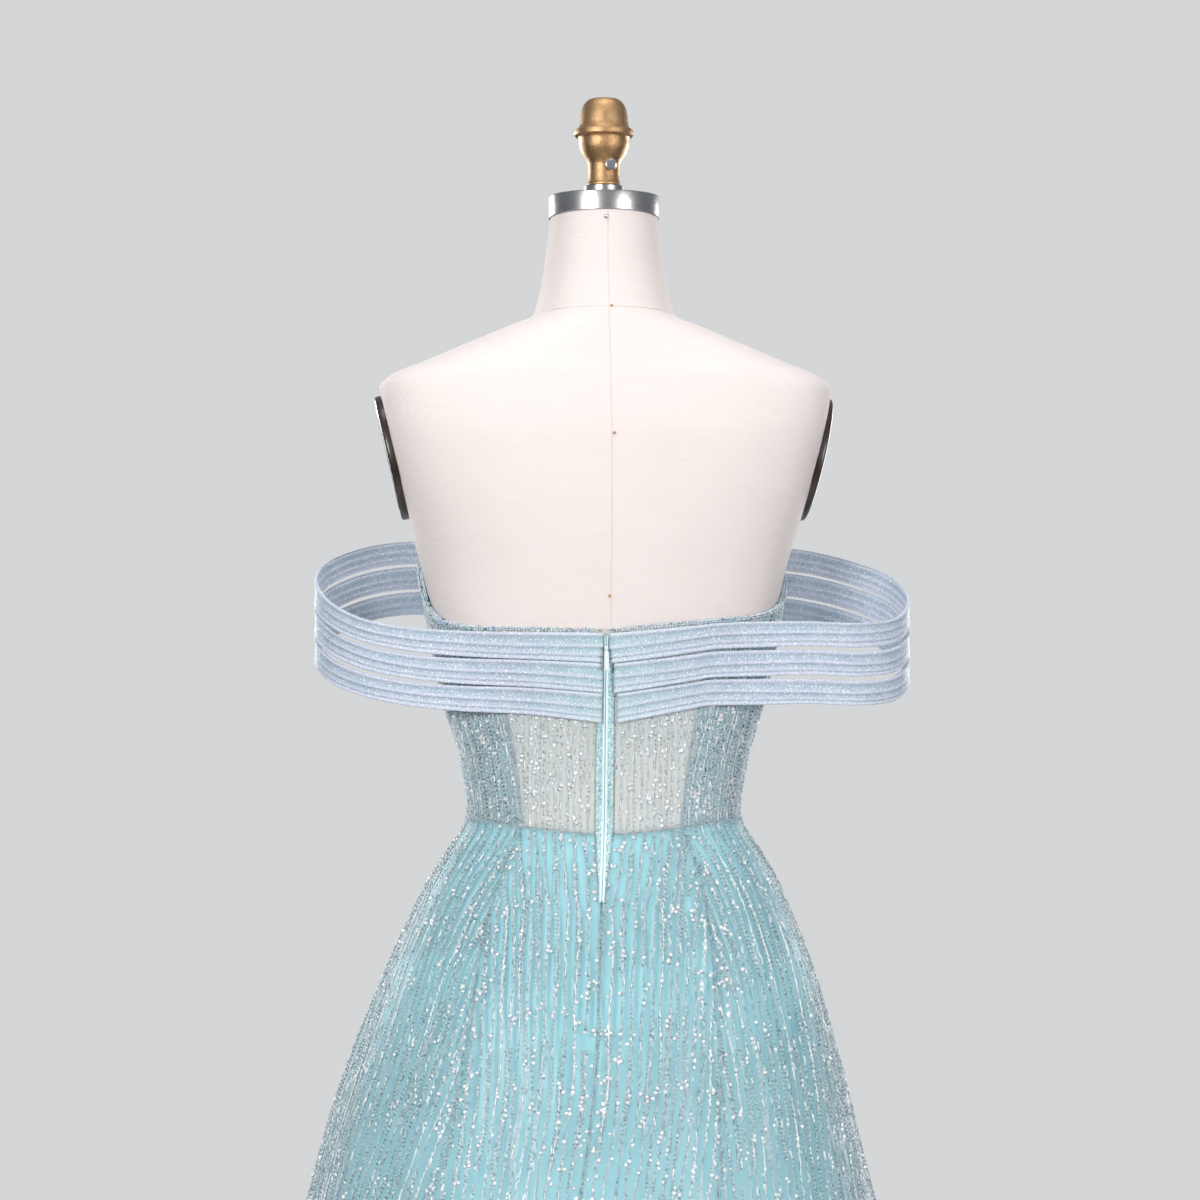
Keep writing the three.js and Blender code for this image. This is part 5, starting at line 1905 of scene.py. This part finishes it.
@dataclass
class Gown:
    """The gown's cloth, its bands, its zip and its beading."""

    skirt_rows: int = 72
    skirt_columns: int = 32
    bodice_rows: int = 36
    bodice_columns: int = 24
    lining_rows: int = 60

    def under_bands(self, height: Array, angle: Array) -> Array:
        """Where the bodice is hidden under the bands."""
        turned = between(angle, 0)
        left = np.mod(angle, 360) <= 180
        hidden = np.zeros(height.shape, bool)
        for side, mine in ((Side.LEFT, left), (Side.RIGHT, ~left)):
            rows = LAID[side]
            top = rows.read("top", turned)
            low = top - 2 * rows.read("step", turned) - rows.read("width", turned)
            laid = (turned < LEAVES - 2) | (turned > LANDS + 2)
            hidden |= mine & laid & (height < top - 2) & (height > low + 2.5)
        return hidden

    def net_skirt(self) -> None:
        """Cuts the seven gores of the net skirt and beads them."""
        for i, gore in enumerate(gores(skirt_radius)):
            cloth = Cloth(
                skirt_radius,
                gore,
                lambda a: waist_seam(a) - SEAM / 2,
                lambda a: np.full_like(a, NET_HEM),
                0.0,
                self.skirt_rows,
                self.skirt_columns,
                1.15,
            )
            piece = dress(cloth.mesh(f"net_skirt_{gore.name}", NET_THICK), NET_SKIRT, f"skirt_net_{gore.name}")
            work = Beadwork(cloth, SKIRT_ROWS, 40 + i)
            beads = dress(scatter(f"beads_skirt_{gore.name}", work.groups()), BEAD)
            LOG.info("%s: flat %.3f x %.3f m, %.4f m2", piece.name, *cloth.flat(), cloth.area())

    def lining_skirt(self) -> None:
        """Cuts the three pieces of the satin skirt."""
        pieces = (
            ("back_left", 0.04, 89.96, 60),
            ("back_right", 270.04, 359.96, 60),
            ("front", 90.04, 269.96, 110),
        )
        for name, start, stop, columns in pieces:
            gore = Gore(name, lambda h, a=start: turn_at(h) + a, lambda h, a=stop: turn_at(h) + a)
            cloth = Cloth(
                lining_radius,
                gore,
                lambda a: waist_seam(a) - SEAM / 2,
                lambda a: np.full_like(a, LINING_HEM),
                -0.2,
                self.lining_rows,
                columns,
                1.15,
            )
            piece = dress(cloth.mesh(f"lining_skirt_{name}", SATIN_THICK), SATIN, f"skirt_lining_{name}")
            LOG.info("%s: flat %.3f x %.3f m, %.4f m2", piece.name, *cloth.flat(), cloth.area())

    def bodice(self) -> None:
        """Cuts the bodice: seven gores of beaded net, and five of satin under them."""
        for i, gore in enumerate(gores(form_radius)):
            shape = (form_radius, gore, bodice_edge, lambda a: waist_seam(a) + SEAM / 2)
            columns = self.bodice_columns * (2 if gore.name == "front" else 1)
            net = Cloth(*shape, NET_OUT, self.bodice_rows, columns)
            back = gore.name.startswith("back")
            finish = NET_BACK if back else NET_SIDE
            piece = dress(net.mesh(f"net_bodice_{gore.name}", NET_THICK), finish, f"bodice_{gore.name}")
            work = Beadwork(
                net,
                finish.rows,
                60 + i,
                radius=0.56 if back else 0.78,
                kinds=((0.2, "jet"), (1.01, "light")) if back else ((0.1, "jet"), (1.01, "pale")),
                thins=False,
                skip=self.under_bands,
                sequins=24.0 if back else 40.0,
                bugles=30.0,
                lanes=(-0.5, 0.5),
                seam_kind="lilac",
                seam_gaps=0.0,
            )
            beads = dress(scatter(f"beads_bodice_{gore.name}", work.groups()), BEAD)
            LOG.info("%s: flat %.3f x %.3f m, %.4f m2", piece.name, *net.flat(), net.area())
            if back:
                continue
            satin = Cloth(*shape, LINING_OUT, self.bodice_rows // 2, columns)
            under = dress(satin.mesh(f"lining_bodice_{gore.name}", SATIN_THICK), SATIN, f"bodice_lining_{gore.name}")
            LOG.info("%s: flat %.3f x %.3f m, %.4f m2", under.name, *satin.flat(), satin.area())

    def trim(self, name: str, edge: Line, rows: Sequence[tuple[float, float, float, float]], margin: float) -> None:
        """Sews rows of beads along an edge of the bodice.

        Args:
            name: The piece's name.
            edge: The edge's height at each angle.
            rows: How far each row is above the edge and off the net, its beads' step and their size.
            margin: Where it starts and ends, in degrees from the zip's line.
        """
        rng = np.random.default_rng(len(name))
        groups = []
        for row, (rise, out, step, radius) in enumerate(rows):
            angle = turn_at(ZIP_TOP) + np.linspace(margin, 360 - margin, 4000)
            points = off_surface(form_radius, edge(angle) + rise, angle, NET_OUT + out)
            run = np.concatenate([[0], np.cumsum(np.linalg.norm(np.diff(points, axis=0), axis=1))])
            even = np.arange(step * (1 + row) / 2, run[-1], step)
            even = even + rng.uniform(-0.14, 0.14, len(even)) * step
            place = np.stack([np.interp(even, run, points[:, i]) for i in range(3)], 1)
            turn = np.radians(np.interp(even, run, angle))
            normal = np.stack([np.sin(turn), np.cos(turn), np.full(len(turn), 0.25)], 1)
            normal = tilted(normal / np.linalg.norm(normal, axis=1, keepdims=True), rng, 0.25)
            right = squared(np.tile([0.0, 0.0, 1.0], (len(turn), 1)), normal)
            size = radius * rng.uniform(0.78, 1.22, (len(turn), 1)) * np.array([[1.0, 1.0, 0.9]])
            pick = rng.choice(len(TINTS), len(turn), p=TINT_SHARES["lilac"])
            groups.append(Sewn(BeadShape.STUD, place, right, normal, size, TINTS[pick]))
        dress(scatter(name, groups), BEAD)

    def build(self) -> None:
        """Builds the gown."""
        self.lining_skirt()
        self.net_skirt()
        self.bodice()
        self.trim("edge_beads", bodice_edge, ((0.5, -3.0, 2.1, 1.3), (0.3, -1.3, 2.2, 1.2), (0.2, 0.5, 2.3, 1.2), (-1.6, 0.9, 2.5, 1.2)), 2.0)
        self.trim("waist_beads", waist_seam, ((1.1, 0.5, 1.7, 0.62), (-0.2, 0.7, 1.9, 0.7), (-1.4, 0.9, 1.7, 0.62)), 6.0)


@dataclass
class Bands:
    """The three folded bands that leave the zip, stand off the shoulders and cross the front."""

    names: tuple[str, ...] = ("band_top", "band_middle", "band_low")
    back_steps: int = 18
    front_steps: int = 26
    loop_steps: int = 60
    across: tuple[float, ...] = (0, 0.125, 0.25, 0.375, 0.5, 0.625, 0.75, 0.875, 1)
    folds: tuple[tuple[float, float], ...] = (
        (0, 1.5),
        (0.02, 2.2),
        (0.06, 2.6),
        (0.11, 2.45),
        (0.13, 1.3),
        (0.24, 1.45),
        (0.36, 1.85),
        (0.46, 2.3),
        (0.5, 2.25),
        (0.515, 1.25),
        (0.62, 1.5),
        (0.74, 2.1),
        (0.79, 2.2),
        (0.805, 1.3),
        (0.88, 1.9),
        (0.93, 2.5),
        (0.975, 2.3),
        (1, 1.5),
    )

    def walk_down(self, height: Array, angle: Array, distance: Array) -> Array:
        """Heights a distance further down the bodice, measured along it."""
        start = off_surface(form_radius, height, angle, BAND_OFF)
        drop = distance.copy()
        for _ in range(5):
            gone = np.linalg.norm(off_surface(form_radius, height - drop, angle, BAND_OFF) - start, axis=-1)
            drop = np.where(distance > 0, drop * distance / np.maximum(gone, 1e-6), 0)
        return height - drop

    def laid(self, side: Side, level: int, angles: Array) -> Array:
        """The lines of a band that lie on the bodice.

        Args:
            side: The wearer's side.
            level: 0 for the upper band, up to 2.
            angles: Where, from the centre back.

        Returns:
            Points by angle and place across.
        """
        rows, turned = LAID[side], side.value * angles
        upper = self.walk_down(rows.read("top", angles), turned, level * rows.read("step", angles))
        share = np.array(self.across)[None, :]
        height = np.repeat(upper[:, None], len(self.across), axis=1)
        turn = np.repeat(turned[:, None], len(self.across), axis=1)
        height = self.walk_down(height, turn, share * rows.read("width", angles)[:, None])
        return off_surface(form_radius, height, turn, BAND_OFF)

    def curve(self, posts: Array, places: Array) -> Array:
        """A smooth curve through posts, even where they are unevenly spaced.

        Args:
            posts: Points by post and place across.
            places: Where on the curve, in posts.

        Returns:
            Points by place on the curve and place across.
        """
        made = []
        for place in places:
            i = min(int(place), len(posts) - 3)
            t = place - i
            p = posts[i - 1 : i + 3]
            gaps = [np.sqrt(np.linalg.norm(p[n + 1] - p[n], axis=-1, keepdims=True)) for n in range(3)]
            start = (p[1] - p[0]) / gaps[0] - (p[2] - p[0]) / (gaps[0] + gaps[1]) + (p[2] - p[1]) / gaps[1]
            stop = (p[2] - p[1]) / gaps[1] - (p[3] - p[1]) / (gaps[1] + gaps[2]) + (p[3] - p[2]) / gaps[2]
            start, stop = start * gaps[1], stop * gaps[1]
            square = -3 * p[1] + 3 * p[2] - 2 * start - stop
            cube = 2 * p[1] - 2 * p[2] + start + stop
            made.append(p[1] + start * t + square * t * t + cube * t**3)
        return np.array(made)

    def half(self, side: Side, level: int) -> Array:
        """One side of a band, from its end beside the zip to the centre front."""
        level_height = np.array([SLIDER_TOP])
        end = float(angle_across(form_radius, level_height, BAND_ENDS[side][level])[0])
        end += side.value * float(turn_at(SLIDER_TOP))
        on_back = self.laid(side, level, np.linspace(end, LEAVES, self.back_steps + 1))
        on_front = self.laid(side, level, np.linspace(LANDS, 180, self.front_steps + 1))
        rows = LOOP[side].columns
        share = np.array(self.across)[None, :]
        z = (rows["top"] - level * rows["step"])[:, None] - share * rows["width"][:, None]
        x = np.repeat(side.value * rows["x"][:, None], z.shape[1], axis=1)
        y = np.repeat(rows["y"][:, None], z.shape[1], axis=1)
        rough = np.linspace(end, LEAVES, 7)[-2:-1]
        before = self.laid(side, level, rough)
        after = self.laid(side, level, np.linspace(LANDS, 180, 8)[1:2])
        posts = np.concatenate([before, on_back[-1:], np.stack([x, y, z], -1), on_front[:1], after])
        places = np.linspace(1, len(posts) - 2, self.loop_steps + 1)[1:-1]
        return np.concatenate([on_back, self.curve(posts, places), on_front])

    def across_at(self, grid: Array, share: Array) -> Array:
        """Reads each line of a grid at shares of its width."""
        column = np.clip(share, 0, 1) * (grid.shape[1] - 1)
        i = np.clip(column.astype(int), 0, grid.shape[1] - 2)
        rest = (column - i)[..., None]
        rows = np.arange(len(grid))[:, None]
        return grid[rows, i] * (1 - rest) + grid[rows, i + 1] * rest

    def build(self) -> None:
        """Builds the bands."""
        for level, name in enumerate(self.names):
            left, right = self.half(Side.LEFT, level), self.half(Side.RIGHT, level)
            lines = np.concatenate([left, right[::-1][1:]])
            along = np.gradient(lines, axis=0)
            down = np.gradient(lines, axis=1)
            normal = np.cross(along, down)
            normal /= np.linalg.norm(normal, axis=2, keepdims=True)
            run = np.cumsum(np.linalg.norm(np.diff(lines.mean(axis=1), axis=0), axis=1))
            run = np.concatenate([[0], run])
            share = even = np.repeat(np.array([[s for s, _ in self.folds]]), len(run), axis=0)
            thick = np.repeat(np.array([[t for _, t in self.folds]]), len(run), axis=0)
            wander = 0.035 * np.sin(run / 83 + 1.7 * level) + 0.02 * np.sin(run / 31 + 2.9 * level)
            share = share + (wander[:, None] + 0.03 * (level - 1)) * 4 * share * (1 - share)
            swell = 0.8 + 0.2 * np.sin(run[:, None] / 47 + 9 * share)
            thick = 1.4 + (thick - 1.4) * swell
            lines, normal = self.across_at(lines, share), self.across_at(normal, share)
            outer = lines + normal * thick[..., None]
            inner = lines + normal * (0.7 * np.maximum(0, thick - 1.3))[..., None]
            half_length = run[len(left) - 1]
            across = np.where(run <= half_length, run, run - run[-1])[:, None] + np.zeros_like(share)
            piece = shell(f"tulle_{name}", outer, inner, across, even * BAND_WIDE + level * BAND_MAP)
            dress(piece, TULLE, name)


@dataclass
class Zip:
    """The centre-back zip."""

    rows: int = 90
    tooth_step: float = 1.5
    # Half of the tape's middle: distance across and rise.
    roll: tuple[tuple[float, float], ...] = (
        (0, -0.45),
        (0.22, -0.4),
        (0.36, 0.2),
        (0.7, 0.72),
        (1.15, 0.9),
        (1.6, 0.72),
        (1.95, 0.25),
        (2.1, 0),
    )

    def tape(self) -> None:
        """Weaves the tape, with its two rolled edges along the middle."""
        height = np.linspace(ZIP_TOP, ZIP_BOTTOM + 1, self.rows + 1)[:, None]
        half = zip_half(height) - SEAM
        roll = np.array(self.roll)
        flat = np.array([0.33, 0.66, 1.0])
        share = np.concatenate([-flat[::-1], np.zeros(2 * len(roll) - 1), flat])[None, :]
        fixed = np.concatenate([np.full(3, -roll[-1, 0]), -roll[:0:-1, 0], roll[:, 0], np.full(3, roll[-1, 0])])
        rise = np.concatenate([np.zeros(3), roll[:0:-1, 1], roll[:, 1], np.zeros(3)])
        across = fixed[None, :] + share * (half - roll[-1, 0])
        level = np.repeat(height, share.shape[1], axis=1)
        outer = zip_point(level, across, rise[None, :] - 0.1)
        inner = zip_point(level, across, -0.9)
        down = np.repeat(ZIP_TOP - height, share.shape[1], axis=1)
        piece = dress(shell("zip_tape_woven", outer, inner, across + 0 * level, down), TAPE, "zip_tape")

    def teeth(self) -> None:
        """Lays the coil: two rows of nylon loops."""
        height = np.arange(ZIP_TOP - 1.5, ZIP_BOTTOM + 3, -self.tooth_step)
        groups = []
        for side in (-1, 1):
            level = height - (self.tooth_step / 2 if side > 0 else 0)
            place = zip_point(level, np.full_like(level, side * 0.2), -0.3)
            normal = zip_point(level, np.full_like(level, side * 0.2), 0.7) - place
            right = np.tile([1.0, 0.0, 0.0], (len(level), 1))
            size = np.tile([0.34, 0.6, 0.3], (len(level), 1))
            tint = np.tile([0.8, 0.9, 0.9, 0.0], (len(level), 1))
            groups.append(Sewn(BeadShape.DISC, place, squared(right, normal), normal, size, tint))
        dress(scatter("zip_coil", groups), NYLON)

    def beads(self) -> None:
        """Sews two lanes of beads on each side of the tape."""
        rng = np.random.default_rng(5)
        groups = []
        for across in (-6.4, -5.3, -4.2, -3.1, 3.1, 4.2, 5.3, 6.4):
            height = np.arange(ZIP_TOP - 1, ZIP_BOTTOM + 4, -1.6) + rng.uniform(-0.3, 0.3)
            height = height[zip_half(height) - SEAM > abs(across) + 0.8]
            height = height[rng.random(len(height)) < 0.9]
            level = np.full_like(height, across) + rng.normal(0, 0.12, len(height))
            place = zip_point(height, level, 0.15)
            normal = zip_point(height, level, 1.15) - place
            right = squared(np.tile([1.0, 0.0, 0.0], (len(height), 1)), normal)
            size = rng.uniform(0.45, 0.66, (len(height), 1)) * np.array([[1.0, 1.0, 1.2]])
            pick = rng.choice(len(TINTS), len(height), p=TINT_SHARES["teal"])
            groups.append(Sewn(BeadShape.STUD, place, right, tilted(normal, rng, 0.2), size, TINTS[pick]))
        dress(scatter("zip_beads", groups), BEAD)

    def slider(self) -> None:
        """Makes the slider: a rounded body and the bar that holds the pull."""
        low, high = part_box("zip_slider")
        middle = (low + high) / 2
        deep = 0.003
        hinge = frame["joints"][0]["pos_m"]
        body = bevelled(block((0.0032, deep, 0.007), (hinge[0], low.y + deep / 2, middle.z)), 0.0009)
        posts = []
        for side in (-1, 1):
            foot, top = low.y + deep - 0.0004, high.y
            post = block((0.0006, top - foot, 0.001), (hinge[0] + side * 0.0013, (foot + top) / 2, hinge[2]))
            posts.append(bevelled(post, 0.0002, 2))
        bpy.ops.object.select_all(action="DESELECT")
        bpy.ops.mesh.primitive_cylinder_add(
            vertices=16, radius=0.00048, depth=0.0024, location=tuple(hinge), rotation=(0, math.pi / 2, 0)
        )
        bar = bpy.context.object
        apply_place(bar)
        bpy.ops.object.shade_smooth_by_angle(angle=math.radians(50))
        dress(join("slider_body", body, *posts, bar), ENAMEL, "zip_slider")

    def pull(self) -> None:
        """Makes the pull: an eye on the bar, a neck and a flat rounded tab."""
        hinge = frame["joints"][0]["pos_m"]
        low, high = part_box("zip_pull")
        bpy.ops.object.select_all(action="DESELECT")
        bpy.ops.mesh.primitive_torus_add(
            major_radius=0.00135,
            minor_radius=0.00042,
            major_segments=32,
            minor_segments=12,
            location=tuple(hinge),
            rotation=(0, math.pi / 2, 0),
        )
        eye = bpy.context.object
        apply_place(eye)
        bpy.ops.object.shade_smooth_by_angle(angle=math.radians(60))
        top = hinge[2] - 0.0024
        neck = bevelled(block((0.0013, 0.0008, 0.0012), (hinge[0], hinge[1], top + 0.0004)), 0.0002, 2)
        blade = block((0.0038, 0.0009, top - low.z), (hinge[0], hinge[1], (top + low.z) / 2))
        bevelled(blade, 0.00035, 3)
        dress(join("pull_tab", blade, neck, eye), ENAMEL, "zip_pull", body="zip_pull")

    def build(self) -> None:
        """Builds the zip."""
        self.tape()
        self.teeth()
        self.beads()
        self.slider()
        self.pull()


def main() -> None:
    """Builds every sub-assembly in order."""
    logging.basicConfig(level=logging.INFO, format="%(message)s")
    Studio().build()
    for assembly in (DressForm(), Gown(), Bands(), Zip()):
        assembly.build()


if __name__ == "__main__":
    main()
